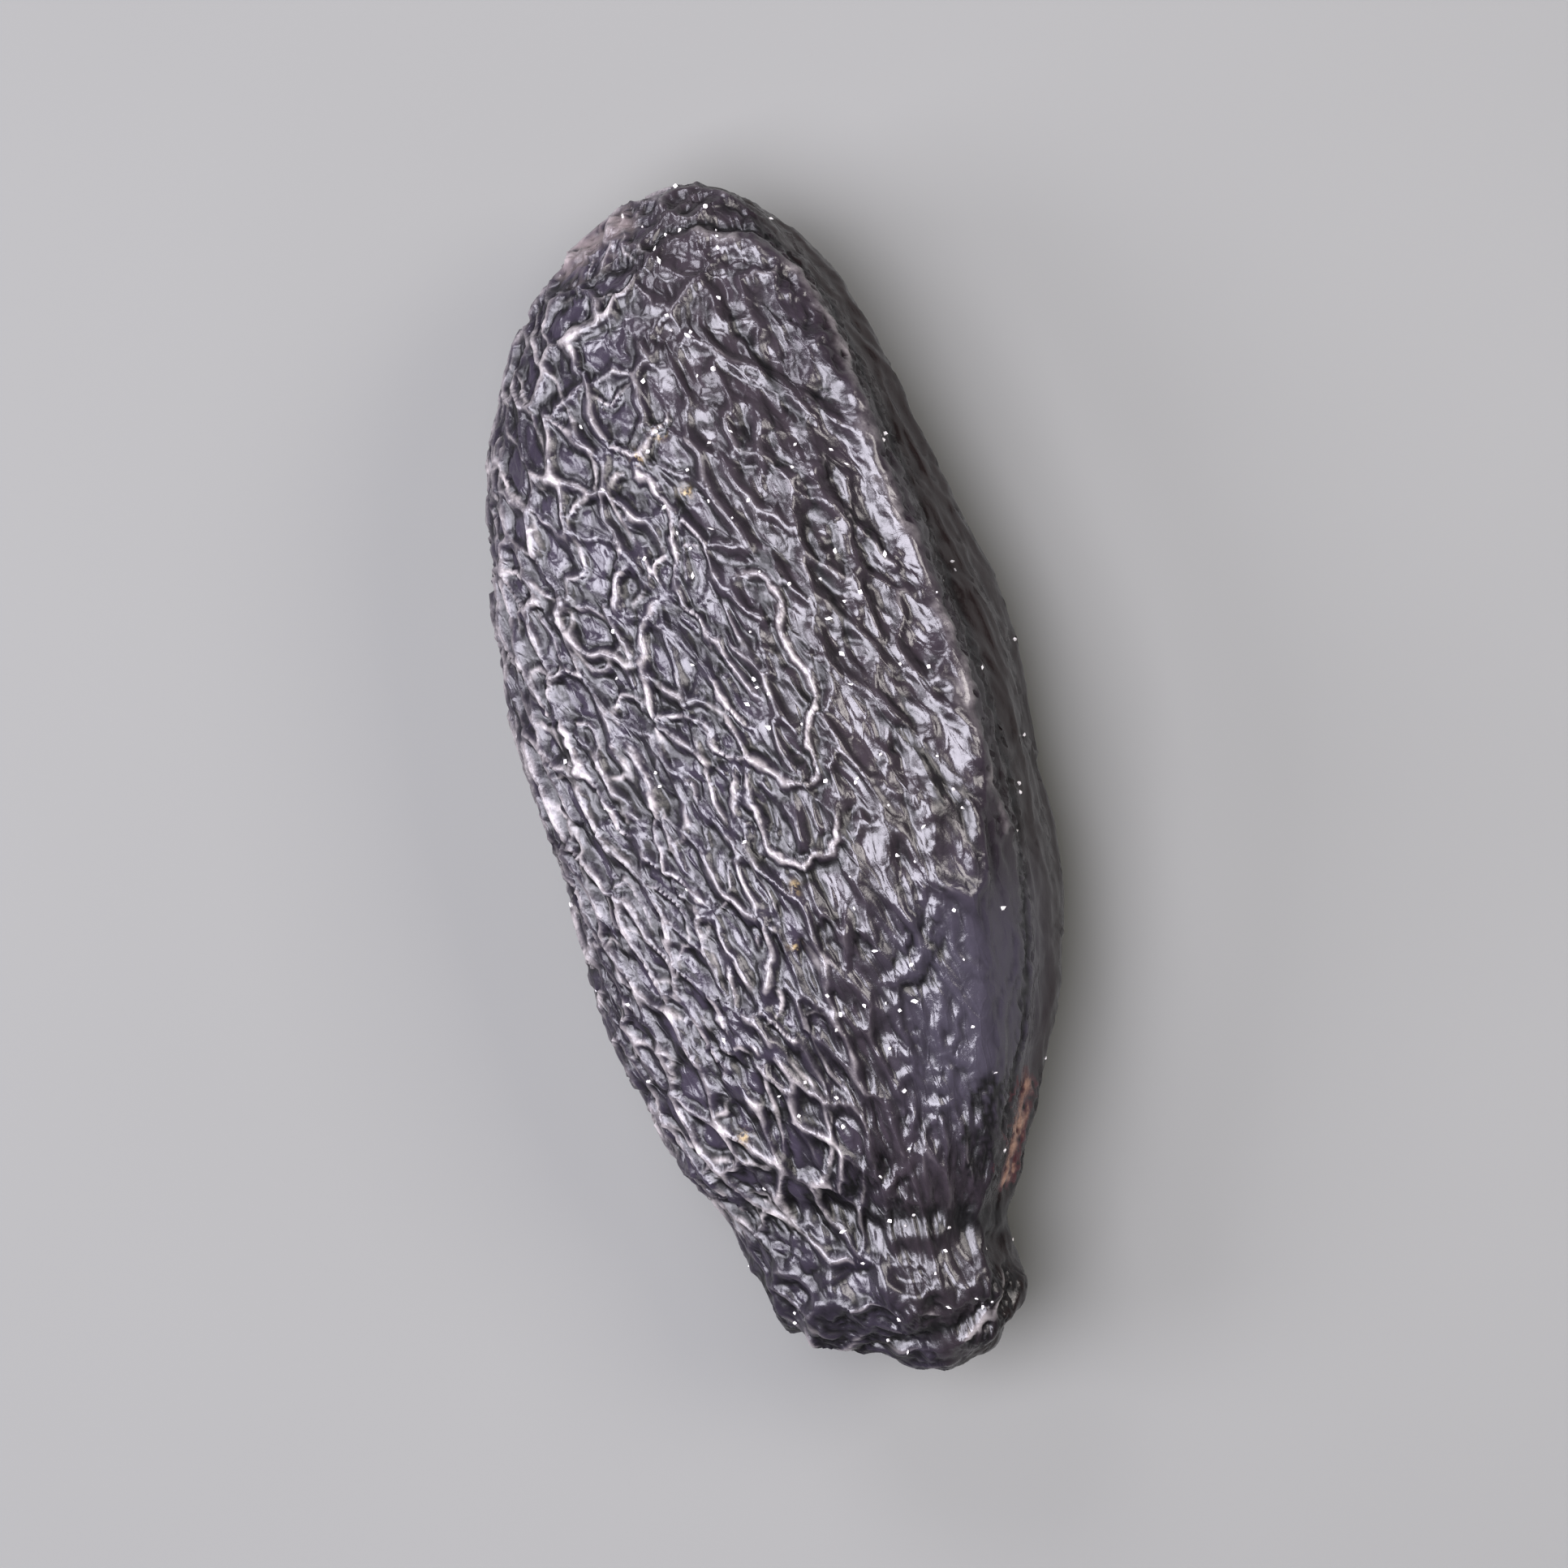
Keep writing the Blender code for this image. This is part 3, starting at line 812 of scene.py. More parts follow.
def beside_curves(ball, seen, lines, half_width):
    """A ridge along listed lines, the groove on both its sides, and how far each point is from it.

    The distance is real, along the skin: the distance in the photograph divided by its slope there.
    The ridge is a bell of it, and the groove a bell beside the ridge. Both run out at the line's ends.
    """
    place, changes, stretch = seen
    way, to_end = from_curves(ball, place, [curve(line) for line in lines])
    distance = np.maximum(np.linalg.norm(way, axis=1), LEAST_PIXELS)
    a, b = ((part * way).sum(axis=1) / distance for part in changes)
    far = distance / real_slope(a, b, stretch)
    rise = LINE_END + (1 - LINE_END) * np.clip(to_end / TAPER, 0, 1)
    away = far / (half_width * np.sqrt(rise))
    return rise * ridge(away), rise * groove_beside(away), far


def drawn_to_curves(ball, lines):
    """Moves the grid onto listed lines."""
    way, _ = from_curves(ball, upright_place(ball), [curve(line) for line in lines])
    distance = np.maximum(np.linalg.norm(way, axis=1), LEAST_PIXELS)
    first, second = sides(ball)
    a = (change(ball, first, upright_place) * way).sum(axis=1) / distance
    b = (change(ball, second, upright_place) * way).sum(axis=1) / distance
    return moved_onto(ball, a, b, distance)


def lying_waves(points, normals, seed, length, longer):
    """Waves of about one length that lie in the skin: their sum, and how it changes along X, Y and Z.

    A wave counts the less, the more it runs into the skin. Along X the waves are some times longer.
    """
    draw = np.random.default_rng(seed)
    directions = unit(draw.normal(size=(FOLD_WAVES, 3)))
    lengths = length * draw.uniform(1 - FOLD_SPREAD, 1 + FOLD_SPREAD, FOLD_WAVES)
    turns = 2 * np.pi * directions / lengths[:, None] / [longer, 1, 1]
    phases = draw.uniform(0, 2 * np.pi, FOLD_WAVES)
    share = (1 - (normals @ directions.T) ** 2) ** FOLD_LYING
    phase = points @ turns.T + phases
    return (share * np.sin(phase)).sum(axis=1), (share * np.cos(phase)) @ turns


def skin_of_net(ball):
    """Where each point would lie if the net weren't twisted or bent."""
    return body(on_net(ball))


def fold_field(ball):
    """The field whose zero lines are the folds, and its changes along the ball's two side directions."""
    net = on_net(ball)
    points, normals = body(net), outward(net, body)
    knob = on_knob(ball)
    right = on_right_face(ball) * (1 - knob)
    left = on_left_face(ball) * (1 - knob)
    total, slope = np.zeros(len(net)), np.zeros((len(net), 3))
    weights = (1 - knob - RIGHT_FOLDS_SHARE * right - LEFT_FOLDS_SHARE * left, left, right, knob)
    for weight, kind in zip(weights, (FACE_FOLDS, LEFT_FOLDS, RIGHT_FOLDS, KNOB_FOLDS)):
        height, change_in_space = lying_waves(points, normals, *kind)
        total += weight * height
        slope += weight[:, None] * change_in_space
    first, second = sides(ball)
    a = (slope * change(ball, first, skin_of_net)).sum(axis=1)
    b = (slope * change(ball, second, skin_of_net)).sum(axis=1)
    return total, a, b


def fold_distance(ball):
    """Real distance of each point from the nearest fold line: the field divided by its real slope."""
    total, a, b = fold_field(ball)
    return np.abs(total) / real_slope(a, b, inverse_stretch(ball))


def all_lines(ball, seen, cells, group):
    """Every kind of line on the skin, as shares from 0 to 1 at each point: the net, the folds between its
    walls, and the listed lines, which the others make way for. Waves widen and raise them in places.
    """
    place = smooth_skin(ball)
    widening = 1 + LINE_WIDENING * waves(place, LINE_SEED, LINE_WAVES, LINE_LENGTH, LINE_STEEPNESS)
    rising = 0.5 - 0.5 * waves(place, LINE_SEED + 1, LINE_WAVES, LINE_LENGTH, LINE_STEEPNESS)
    fading = 0.5 + 0.5 * waves(place, FADE_SEED, LINE_WAVES, FADE_LENGTH, FADE_STEEPNESS)
    net, net_groove, skirt, own = walls(ball, cells, group, widening)
    bold, bold_groove, bold_far = beside_curves(ball, seen, BOLD_FOLDS, BOLD_HALF_WIDTH * widening)
    shiny, shiny_groove, shiny_far = beside_curves(ball, seen, SHINY_RIDGES, SHINY_HALF_WIDTH * widening)
    shoulder, _, shoulder_far = beside_curves(ball, seen, (SHOULDER,), SHOULDER_HALF_WIDTH)
    seam, _, _ = beside_curves(ball, seen, SEAMS, SEAM_HALF_WIDTH)
    torn, torn_groove, _ = beside_curves(ball, seen, (TORN_EDGE,), TORN_HALF_WIDTH)
    clear = 1 - np.exp(-((bold_far / BOLD_CLEARANCE) ** 4)) - np.exp(-((shiny_far / SHINY_HALF_WIDTH) ** 4))
    clear = np.clip(clear - np.exp(-((shoulder_far / SHOULDER_HALF_WIDTH) ** 4)), 0, 1)
    away = fold_distance(ball) / (FOLD_HALF_WIDTH * widening)
    faded = FAINTEST_FOLD + (1 - FAINTEST_FOLD) * fading
    near_bold = NET_NEAR_BOLD + (1 - NET_NEAR_BOLD) * clear
    on_right = 1 - NET_LOST_ON_RIGHT * on_right_face(ball)
    return SimpleNamespace(
        rising=1 - LINE_RISING * rising,
        net=net * near_bold * on_right,
        net_groove=net_groove * near_bold * on_right,
        skirt=skirt,
        cell=own,
        fold=ridge(away) * faded * (1 - FOLD_LOST_UNDER_NET * net) * clear,
        fold_groove=groove_beside(away) * faded * (1 - net) * clear,
        bold=bold,
        bold_groove=bold_groove,
        shiny=shiny,
        shiny_groove=shiny_groove * (1 - shiny),
        shoulder=shoulder,
        seam=seam,
        torn=torn,
        torn_groove=torn_groove,
    )


def fold_strength(ball):
    """How strongly the fold lines and the grooves stand out, from 0 to 1."""
    strength = FOLD_LEAST + (1 - FOLD_LEAST) * net_strength(ball)
    return strength * away_from_rest(ball) * (1 - FOLD_LOST_ON_RIGHT * on_right_face(ball))


def relief(ball, at):
    """Height of the lines over the smooth skin, with the cells' steps, the grain and the knob's bumps."""
    place = smooth_skin(ball)
    knob, strength, folded = on_knob(ball), net_strength(ball), fold_strength(ball)
    step = drawn(at.cell, CELL_STEP_DRAW, NET_SEED) - 0.5
    grain = waves(place, GRAIN_SEED, GRAIN_WAVES, GRAIN_LENGTH)
    bumps = waves(place, KNOB_SEED, KNOB_WAVES, KNOB_LENGTH, KNOB_STEEPNESS)
    form = (1 - SKIRT_SHARE) * at.net + SKIRT_SHARE * at.skirt
    grooves = np.maximum(at.fold_groove * (1 + GROOVE_MORE_ON_KNOB * knob), at.net_groove)
    grooves = np.maximum(grooves, at.bold_groove)
    height = NET_HEIGHT * strength * (form - 1 + NET_CREST_SHARE) * (1 - NET_LOST_ON_KNOB * knob)
    height += folded * (FOLD_HEIGHT * at.rising * at.fold * (1 - knob) - GROOVE_DEPTH * at.rising * grooves)
    height += folded * BOLD_HEIGHT * at.rising * at.bold
    height += SHINY_HEIGHT * (SHINY_LEAST + (1 - SHINY_LEAST) * strength) * at.shiny
    beside = SHINY_GROOVE * at.shiny_groove + TORN_GROOVE * at.torn_groove
    height -= SEAM_DEPTH * at.seam + GROOVE_DEPTH * beside
    height += TORN_HEIGHT * at.torn + SHOULDER_HEIGHT * at.shoulder
    height += CELL_STEP * strength * step * (1 - at.net) * (1 - at.bold)
    grained = GRAIN_HEIGHT * (GRAIN_LEAST + (1 - GRAIN_LEAST) * strength) * grain
    return height + (grained + KNOB_HEIGHT * knob * bumps) * away_from_rest(ball)


def crest_bloom_and_highlight(ball, at):
    """Where crests are painted pale, from 0 to 1, partly as a worn grey bloom and partly as painted
    highlight: the most that any line there has.
    """
    knob = on_knob(ball)
    folded = at.fold * fold_strength(ball) * (1 - FOLD_DARKER_ON_KNOB * knob)
    folded = folded * (1 - FOLD_DARKER_ON_RIGHT * on_right_face(ball))
    wear_and_highlight = np.maximum(np.maximum(at.net * net_strength(ball), folded), at.bold)
    wear_and_highlight = np.maximum(wear_and_highlight, (SHINY_PAINTED_HIGHLIGHT + SHINY_PAINTED_HIGHLIGHT_ON_KNOB * knob) * at.shiny)
    return np.clip(at.rising * np.maximum(wear_and_highlight, SHOULDER_PAINTED_HIGHLIGHT * at.shoulder), 0, 1)


def hollows(ball, at):
    """Painted shade, from 0 to 1: darkening where the skin is sunk, by the deepest groove there, and along
    the knob's crease, with an even darkening of the knob.
    """
    sunk = NET_GROOVE_SHADE * at.net_groove * net_strength(ball)
    sunk = np.maximum(sunk, at.fold_groove * fold_strength(ball))
    sunk = np.maximum(sunk, at.bold_groove * (1 - at.bold))
    # Painted shade along the seams and beside the shiny ridges and the torn edge.
    for groove in (at.seam, at.shiny_groove, at.torn_groove):
        sunk = np.maximum(sunk, SEAM_SHADE * groove)
    # A painted shade line along the knob's crease.
    crease = np.exp(-((from_crease(ball) / CREASE_SHADE) ** 2))
    return np.clip(SUNK_SHADE * sunk + CREASE_LINE_SHADE * crease + KNOB_DARK * on_knob(ball), 0, 1)


def stood(points):
    """Flattens the small spot that the bean rests on, and centres the bean's box over the origin."""
    low, high = points.min(axis=0), points.max(axis=0)
    foot = low[2] + REST_CUT
    points = points - [(low[0] + high[0]) / 2, (low[1] + high[1]) / 2, foot]
    points[:, 2] = np.maximum(points[:, 2], 0)
    return points


def skin_grid():
    """Directions of the grid's rows and columns with a pole at each end, and its faces.

    Rows are evenly spaced by the length of the bean's outline from pole to pole. Columns are spaced by
    turn = 2 pi w - b sin(2 pi w) about straight up, so they lie closer on the upper side.
    """
    angle = np.linspace(0, np.pi, OUTLINE_STEPS)
    outline = np.column_stack([LENGTH / 2 * np.cos(angle), WIDEST / 2 * np.sin(angle)])
    run = np.concatenate([[0], np.cumsum(np.linalg.norm(np.diff(outline, axis=0), axis=1))])
    row_angle = np.interp(np.arange(1, ROWS + 1) / (ROWS + 1) * run[-1], run, angle)
    share = np.arange(COLUMNS) / COLUMNS
    turn = np.pi / 2 + 2 * np.pi * share - UPPER_SHARE * np.sin(2 * np.pi * share)
    place, turn = np.meshgrid(np.cos(row_angle), turn, indexing="ij")
    ring = np.sqrt(1 - place**2)
    grid = np.stack([place, ring * np.cos(turn), ring * np.sin(turn)], axis=-1).reshape(-1, 3)
    ball = np.vstack([grid, [[1, 0, 0]], [[-1, 0, 0]]])
    number = np.arange(ROWS * COLUMNS).reshape(ROWS, COLUMNS)
    beside = np.roll(number, -1, axis=1)
    quads = np.stack([number[:-1], number[1:], beside[1:], beside[:-1]], axis=-1).reshape(-1, 4)
    front = np.column_stack([number[0], beside[0], np.full(COLUMNS, len(grid))])
    back = np.column_stack([beside[-1], number[-1], np.full(COLUMNS, len(grid) + 1)])
    return ball, quads.tolist() + front.tolist() + back.tolist()


def new_piece(name, points, faces):
    """A smooth-shaded mesh object from points and faces."""
    mesh = bpy.data.meshes.new(name)
    mesh.from_pydata(points.tolist(), [], faces)
    mesh.shade_smooth()
    piece = bpy.data.objects.new(name, mesh)
    bpy.context.scene.collection.objects.link(piece)
    return piece


def paint(piece, name, values):
    """Stores one number, or three, for each point of a piece, for its material to read."""
    kind, field = ("FLOAT", "value") if values.ndim == 1 else ("FLOAT_VECTOR", "vector")
    stored = piece.data.attributes.new(name, kind, "POINT")
    stored.data.foreach_set(field, values.astype(np.float32).ravel())


def near_flecks(ball, place):
    """1 at the ochre flecks of the upper side, falling off as a bell."""
    fleck = np.zeros(len(ball))
    for middle in FLECKS:
        away = np.linalg.norm(place - middle, axis=1) / UPRIGHT_PER_METRE
        fleck = np.maximum(fleck, np.exp(-((away / FLECK_RADIUS) ** 2)) * (ball[:, 2] > 0))
    return fleck


def build_skin():
    """The seed coat: smooth skin pushed out along its normals by the relief."""
    ball, faces = skin_grid()
    cells = scattered_points(NET_CELLS, NET_SEED)
    group = joined_cells(cells, NET_SEED + 1, NET_JOIN_ALONG, NET_JOIN_AROUND, NET_MOST_JOINED)
    ball = drawn_to_folds(ball)
    ball = drawn_to_walls(ball, cells, group)
    ball = drawn_to_curves(ball, BOLD_FOLDS)
    seen = seen_from_above(ball)
    lines = all_lines(ball, seen, cells, group)
    points = stood(smooth_skin(ball) + relief(ball, lines)[:, None] * outward(ball, smooth_skin))
    skin = new_piece("seed_coat_skin", points, faces)
    painted = {
        # Pale crests, partly worn grey bloom and partly painted highlight.
        "crest": crest_bloom_and_highlight(ball, lines),
        # Painted shade in the grooves, seams and crease, and an even darkening of the knob.
        "hollow": hollows(ball, lines),
        "flank": on_flank(ball),
        "smooth_patch": on_smooth_patch(ball),
        "knob": on_knob(ball),
        "right_face": on_right_face(ball),
        "torn": lines.torn,
        # The lip's pale tint, partly painted highlight.
        "lip_tint_and_highlight": beside_curves(ball, seen, (TAN_LIP,), LIP_HALF_WIDTH)[0],
        "fleck": near_flecks(ball, seen[0]),
        "net_place": on_net(ball),
    }
    for name, values in painted.items():
        paint(skin, name, values)
    return skin, ball, points


def build_crystals(ball, points):
    """Coumarin crystals: small six-sided double cones at drawn points, most of them on the upper side."""
    draw = np.random.default_rng(CRYSTAL_SEED)
    along, height = ball[:, 0], points[:, 2]
    wanted = 1 + MORE_ON_KNOB_AS_GLINTS * (along < CRYSTAL_KNOB) + MORE_ON_RIGHT * on_right_face(ball)
    wanted = wanted + MORE_ON_END * (along > CRYSTAL_END)
    grid_ring = np.sqrt(np.maximum(1 - along**2, 0))
    wanted = grid_ring * (CRYSTALS_LOW_DOWN + (height > HIGH_UP)) * (height > CRYSTALS_FROM) * wanted
    places = points[draw.choice(len(points), CRYSTALS, replace=False, p=wanted / wanted.sum())]
    corner = np.arange(CRYSTAL_SIDES)
    turn = corner * 2 * np.pi / CRYSTAL_SIDES
    zigzag = CRYSTAL_ZIGZAG * np.cos(CRYSTAL_SIDES / 2 * turn)
    waist = np.column_stack([CRYSTAL_WAIST * np.cos(turn), CRYSTAL_WAIST * np.sin(turn), zigzag])
    template = np.vstack([waist, [[0, 0, 1.0]], [[0, 0, -1.0]]])
    beside = np.roll(corner, -1)
    upper = np.column_stack([corner, beside, np.full(CRYSTAL_SIDES, CRYSTAL_SIDES)])
    lower = np.column_stack([beside, corner, np.full(CRYSTAL_SIDES, CRYSTAL_SIDES + 1)])
    faces = np.vstack([upper, lower])
    sizes = draw.uniform(*CRYSTAL_SIZE, (CRYSTALS, 1, 3))
    angles = draw.uniform(0, 2 * np.pi, CRYSTALS)
    axes = unit(draw.normal(size=(CRYSTALS, 3)))
    turns = np.array([Matrix.Rotation(angle, 3, Vector(axis)) for angle, axis in zip(angles, axes)])
    corners = np.einsum("nij,nkj->nki", turns, template[None] * sizes) + places[:, None, :]
    numbers = (faces[None] + (np.arange(CRYSTALS) * len(template))[:, None, None]).reshape(-1, 3)
    crystals = new_piece("coumarin_crystals", corners.reshape(-1, 3), numbers.tolist())
    crystals.data.shade_flat()
    return crystals


def linear(colour):
    """An sRGB hex colour as linear red, green, blue and alpha."""
    parts = [int(colour[n : n + 2], 16) / 255 for n in (1, 3, 5)]
    return [p / 12.92 if p <= 0.04045 else ((p + 0.055) / 1.055) ** 2.4 for p in parts] + [1.0]


def per(size):
    """Texture scale that gives a pattern of this size in metres."""
    return 1 / size


def add(tree, kind, settings, inputs):
    """Adds a node: settings are its properties, inputs are its sockets' values or what feeds them."""
    node = tree.nodes.new("ShaderNode" + kind)
    for name, value in settings.items():
        setattr(node, name, value)
    for name, value in inputs.items():
        if isinstance(value, bpy.types.NodeSocket):
            tree.links.new(value, node.inputs[name])
        else:
            node.inputs[name].default_value = value
    return node


def new_material(name):
    """An empty node material, and its tree."""
    material = bpy.data.materials.new(name)
    material.use_nodes = True
    material.node_tree.nodes.clear()
    return material, material.node_tree


def waxy_seed_coat():
    """Dried seed coat of a tonka bean: hard, waxy, nearly black, browner on the flank.

    Crests are painted pale, partly as a worn grey bloom and partly as painted highlight, and catch the
    light; hollows are painted black as painted shade, and are dull.
    """
    material, tree = new_material("waxy_seed_coat")
    where = add(tree, "TexCoord", {}, {}).outputs["Object"]
    net = add(tree, "Attribute", {"attribute_name": "net_place"}, {}).outputs["Vector"]
    at = {name: add(tree, "Attribute", {"attribute_name": name}, {}).outputs["Fac"] for name in COAT_SHARES}
    noise = {
        name: add(
            tree, "TexNoise", {}, {"Vector": where, "Scale": per(size), "Detail": detail, "Roughness": rough}
        ).outputs["Fac"]
        for name, size, detail, rough in COAT_NOISES
    }
    # The finest wrinkles follow the net: the ball's unit is 7.6 mm across the bean and 18 mm along it.
    finest = {"Vector": net, "Scale": HAIR_WRINKLE_SCALE, "Randomness": 0.95}
    edge = add(tree, "TexVoronoi", {"feature": "DISTANCE_TO_EDGE"}, finest).outputs["Distance"]

    # A Mix of colours takes its share in socket 0 and the colours in 6 and 7, and gives socket 2.
    times, plus = {"operation": "MULTIPLY"}, {"operation": "MULTIPLY_ADD"}
    highest, mixed = {"operation": "MAXIMUM"}, {"data_type": "RGBA"}

    # The torn edge is ragged by a broad noise, and its pale core by a fine one too.
    torn_edge = add(tree, "Math", plus, {0: noise["wear_and_highlight"], 1: TEAR_RAGGED, 2: at["torn"]}).outputs[0]
    torn_core = add(tree, "Math", plus, {0: noise["dust"], 1: TEAR_CORE_RAGGED, 2: torn_edge}).outputs[0]

    # What is read, how it eases, the two values between which it changes, and what it becomes at them.
    ranges = {
        "wrinkle": (edge, "SMOOTHSTEP", 0.0, 0.16, 1.0, 0.0),
        # The ridge's pale paint is partly worn bloom and partly painted highlight.
        "ridge": (at["crest"], "SMOOTHSTEP", 0.30, 0.90, 0.0, 1.0),
        "wear_and_highlight": (noise["wear_and_highlight"], "LINEAR", 0.38, 0.62, 0.12, 1.0),
        "spots": (noise["dust"], "LINEAR", 0.45, 0.60, 0.0, 1.0),
        "dull": (noise["dust"], "LINEAR", 0.30, 0.70, 0.12, 0.24),
        "tear": (torn_edge, "SMOOTHSTEP", 0.85, 1.10, 0.0, 1.0),
        "tear_core": (torn_core, "SMOOTHSTEP", 1.50, 2.25, 0.0, 0.9),
    }
    eased = {
        name: add(
            tree,
            "MapRange",
            {"interpolation_type": kind},
            {"Value": value, "From Min": low, "From Max": high, "To Min": at_low, "To Max": at_high},
        ).outputs["Result"]
        for name, (value, kind, low, high, at_low, at_high) in ranges.items()
    }

    # The right face is only tinted, and the lip is tinted pale, partly as painted highlight. Bloom and
    # painted highlight are on worn ridges, and on more of them on the knob, where it is painted highlight.
    some_right = add(tree, "Math", times, {0: at["right_face"], 1: RIGHT_TINT}).outputs[0]
    knob_highlight = add(tree, "Math", times, {0: at["knob"], 1: KNOB_PAINTED_HIGHLIGHT}).outputs[0]
    lip_paint_and_highlight = add(tree, "Math", times, {0: at["lip_tint_and_highlight"], 1: LIP_TINT_AND_HIGHLIGHT}).outputs[0]
    wear_and_highlight = add(tree, "Math", highest, {0: eased["wear_and_highlight"], 1: knob_highlight}).outputs[0]
    bloom_and_highlight = add(tree, "Math", times, {0: eased["ridge"], 1: wear_and_highlight}).outputs[0]
    flecks = add(tree, "Math", times, {0: at["fleck"], 1: eased["spots"]}).outputs[0]

    dark_red, pale_wood = linear("#35171b"), linear("#a98770")
    tear = add(tree, "Mix", mixed, {0: eased["tear_core"], 6: dark_red, 7: pale_wood}).outputs[2]
    darker, lighter = linear("#1d1920"), linear("#38333e")
    colour = add(tree, "Mix", mixed, {0: noise["mottle"], 6: darker, 7: lighter}).outputs[2]
    layers = (
        (at["flank"], linear("#1a1211")),
        (some_right, linear("#2e2726")),
        (at["smooth_patch"], linear("#36333b")),
        # Painted shade: near black in the grooves, seams and crease, and darker on the knob.
        (at["hollow"], linear("#080708")),
        # Pale crests: partly worn grey bloom, partly painted highlight.
        (bloom_and_highlight, linear("#a39d9b")),
        # The lip's pale tint, partly painted highlight.
        (lip_paint_and_highlight, linear("#8b7f7d")),
        (flecks, linear("#b39d70")),
        (eased["tear"], tear),
    )
    for share, over in layers:
        colour = add(tree, "Mix", mixed, {0: share, 6: colour, 7: over}).outputs[2]

    # Where painted shade darkens the hollows they are duller too. The flank and the knob have almost no hair
    # wrinkles.
    rough = add(tree, "Math", plus, {0: at["hollow"], 1: HOLLOW_DULLNESS, 2: eased["dull"]}).outputs[0]
    smooth = add(tree, "Math", highest, {0: at["flank"], 1: at["knob"]}).outputs[0]
    wrinkled = add(tree, "Math", plus, {0: smooth, 1: -HAIR_WRINKLES_LOST, 2: 1.0}).outputs[0]
    wrinkle = add(tree, "Math", times, {0: eased["wrinkle"], 1: wrinkled}).outputs[0]
    below = {}
    reliefs = ((wrinkle, HAIR_WRINKLE_DEPTH), (noise["dust"], DUST_DEPTH), (noise["pores"], PORE_DEPTH))
    for height, depth in reliefs:
        bump = add(tree, "Bump", {}, {"Height": height, "Distance": depth, "Strength": 1.0, **below})
        below = {"Normal": bump.outputs["Normal"]}
    waxy = {"Base Color": colour, "Roughness": rough, "IOR": 1.50, **below}
    shader = add(tree, "BsdfPrincipled", {}, waxy)
    add(tree, "OutputMaterial", {}, {"Surface": shader.outputs[0]})
    return material


def coumarin():
    """Coumarin, as it crystallises on the bean: white, glassy and slightly cloudy."""
    material, tree = new_material("coumarin_crystal")
    where = add(tree, "TexCoord", {}, {}).outputs["Object"]
    cloudy = {"Vector": where, "Scale": per(0.2 * MM), "Detail": 2.0}
    cloud = add(tree, "TexNoise", {}, cloudy).outputs["Fac"]
    whites = {0: cloud, 6: linear("#c9c5c3"), 7: linear("#f4f2ee")}
    colour = add(tree, "Mix", {"data_type": "RGBA"}, whites).outputs[2]
    shader = add(tree, "BsdfPrincipled", {}, {"Base Color": colour, "Roughness": 0.28, "IOR": 1.57})
    add(tree, "OutputMaterial", {}, {"Surface": shader.outputs[0]})
    return material


def matt_paper():
    """Pale matt paper: the floor."""
    material, tree = new_material("matt_paper")
    where = add(tree, "TexCoord", {}, {}).outputs["Object"]
    uneven = {"Vector": where, "Scale": per(40 * MM), "Detail": 3.0}
    fibre = add(tree, "TexNoise", {}, uneven).outputs["Fac"]
    greys = {0: fibre, 6: linear("#6f706c"), 7: linear("#757672")}
    colour = add(tree, "Mix", {"data_type": "RGBA"}, greys).outputs[2]
    shader = add(tree, "BsdfPrincipled", {}, {"Base Color": colour, "Roughness": 0.9, "IOR": 1.3})
    add(tree, "OutputMaterial", {}, {"Surface": shader.outputs[0]})
    return material


def build_floor():
    """A flat round floor, wide enough to reach the horizon of a low view."""
    turn = np.linspace(0, 2 * np.pi, FLOOR_SIDES, endpoint=False)
    rim = np.column_stack([FLOOR_RADIUS * np.cos(turn), FLOOR_RADIUS * np.sin(turn), np.zeros(FLOOR_SIDES)])
    floor = new_piece("floor", rim, [list(range(FLOOR_SIDES))])
    floor.data.materials.append(matt_paper())
    return floor


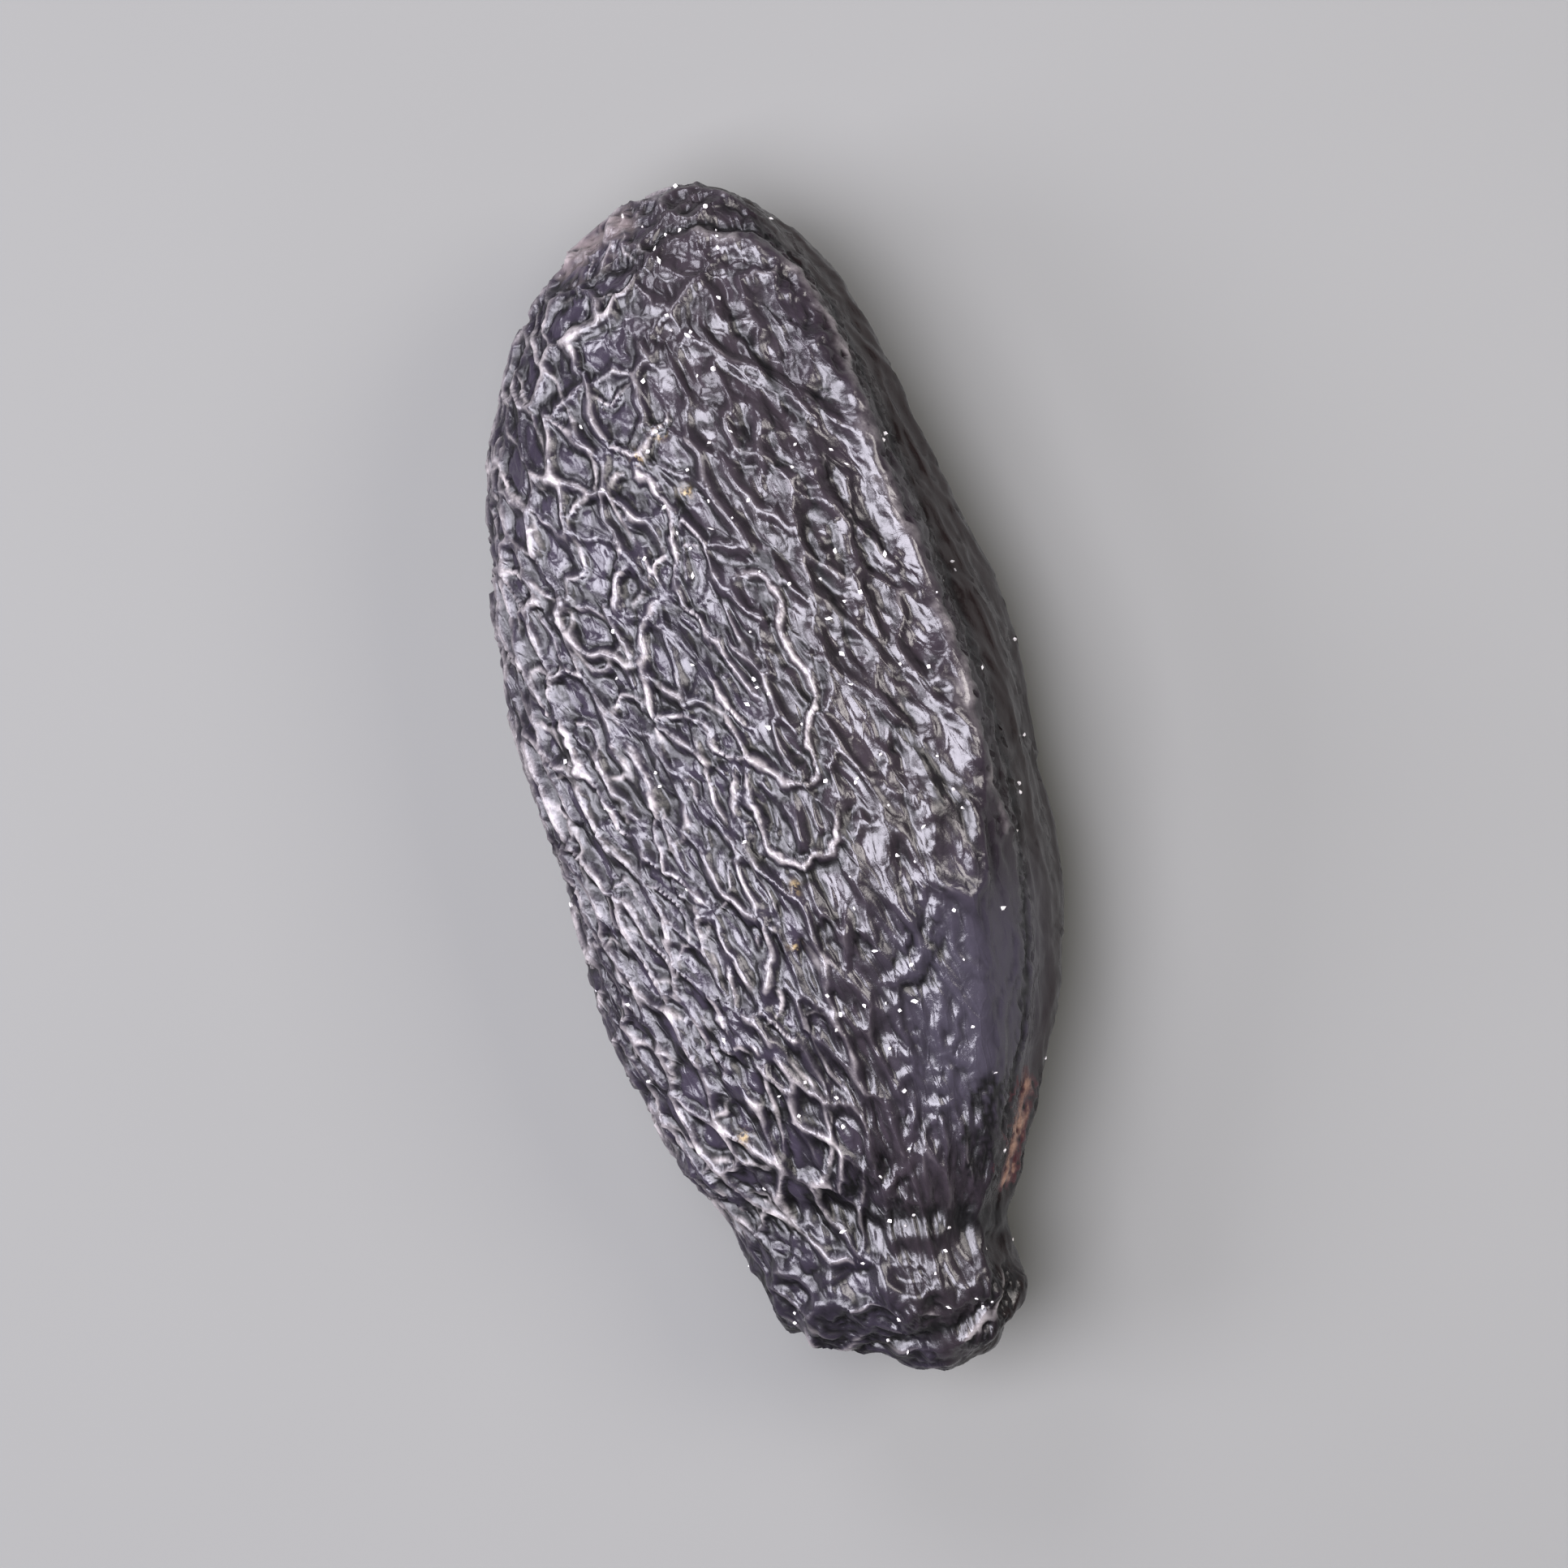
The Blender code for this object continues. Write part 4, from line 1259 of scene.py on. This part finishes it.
def add_softbox(name, place, size, radiance, colour):
    """A square area light that faces the bean. Its power is radiance times pi times its area."""
    light = bpy.data.lights.new(name, "AREA")
    light.shape = "SQUARE"
    light.size = size
    light.energy = radiance * np.pi * size**2
    light.color = linear(colour)[:3]
    lamp = bpy.data.objects.new(name, light)
    bpy.context.scene.collection.objects.link(lamp)
    lamp.location = place
    lamp.rotation_euler = (Vector((0, 0, THICKEST / 2)) - Vector(place)).to_track_quat("-Z", "Y").to_euler()


def light_scene():
    """Soft studio light from above and three sides, in a dim even world."""
    for softbox in SOFTBOXES:
        add_softbox(*softbox)
    world = bpy.data.worlds.new("studio")
    world.use_nodes = True
    background = world.node_tree.nodes["Background"]
    background.inputs["Color"].default_value = linear(WORLD_COLOUR)
    background.inputs["Strength"].default_value = WORLD_STRENGTH
    bpy.context.scene.world = world


def place_camera():
    """Looks at the bean's middle from above the flank's side, with the bean upright but leaning left."""
    camera = bpy.data.cameras.new("camera")
    camera.lens = LENS
    camera.sensor_width = SENSOR
    camera.clip_start = CLIP_START
    camera.clip_end = CLIP_END
    holder = bpy.data.objects.new("camera", camera)
    bpy.context.scene.collection.objects.link(holder)
    low, high = (np.array(corner) for corner in solid_box)
    side = PHOTO_FRAME / PHOTO_BEAN_LENGTH * (high - low)[0]
    distance = side * LENS / SENSOR
    elevation, lean = np.radians(VIEW_ELEVATION), np.radians(VIEW_LEAN)
    back = Vector((0, -np.cos(elevation), np.sin(elevation)))
    along = Vector((1, 0, 0))
    aside = along.cross(back)
    right = np.cos(lean) * aside - np.sin(lean) * along
    up = np.cos(lean) * along + np.sin(lean) * aside
    turn = Matrix((right, up, back)).transposed().to_4x4()
    holder.matrix_world = Matrix.Translation(Vector((low + high) / 2) + back * distance) @ turn
    bpy.context.scene.camera = holder


def main():
    """Builds and dresses the pieces, the floor, the lights and the camera."""
    skin, ball, points = build_skin()
    skin.data.materials.append(waxy_seed_coat())
    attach(skin, "root")
    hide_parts("tonka_bean")
    crystals = build_crystals(ball, points)
    crystals.data.materials.append(coumarin())
    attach(crystals, "root")
    build_floor()
    light_scene()
    place_camera()
    bpy.context.scene.view_settings.view_transform = "Standard"


main()
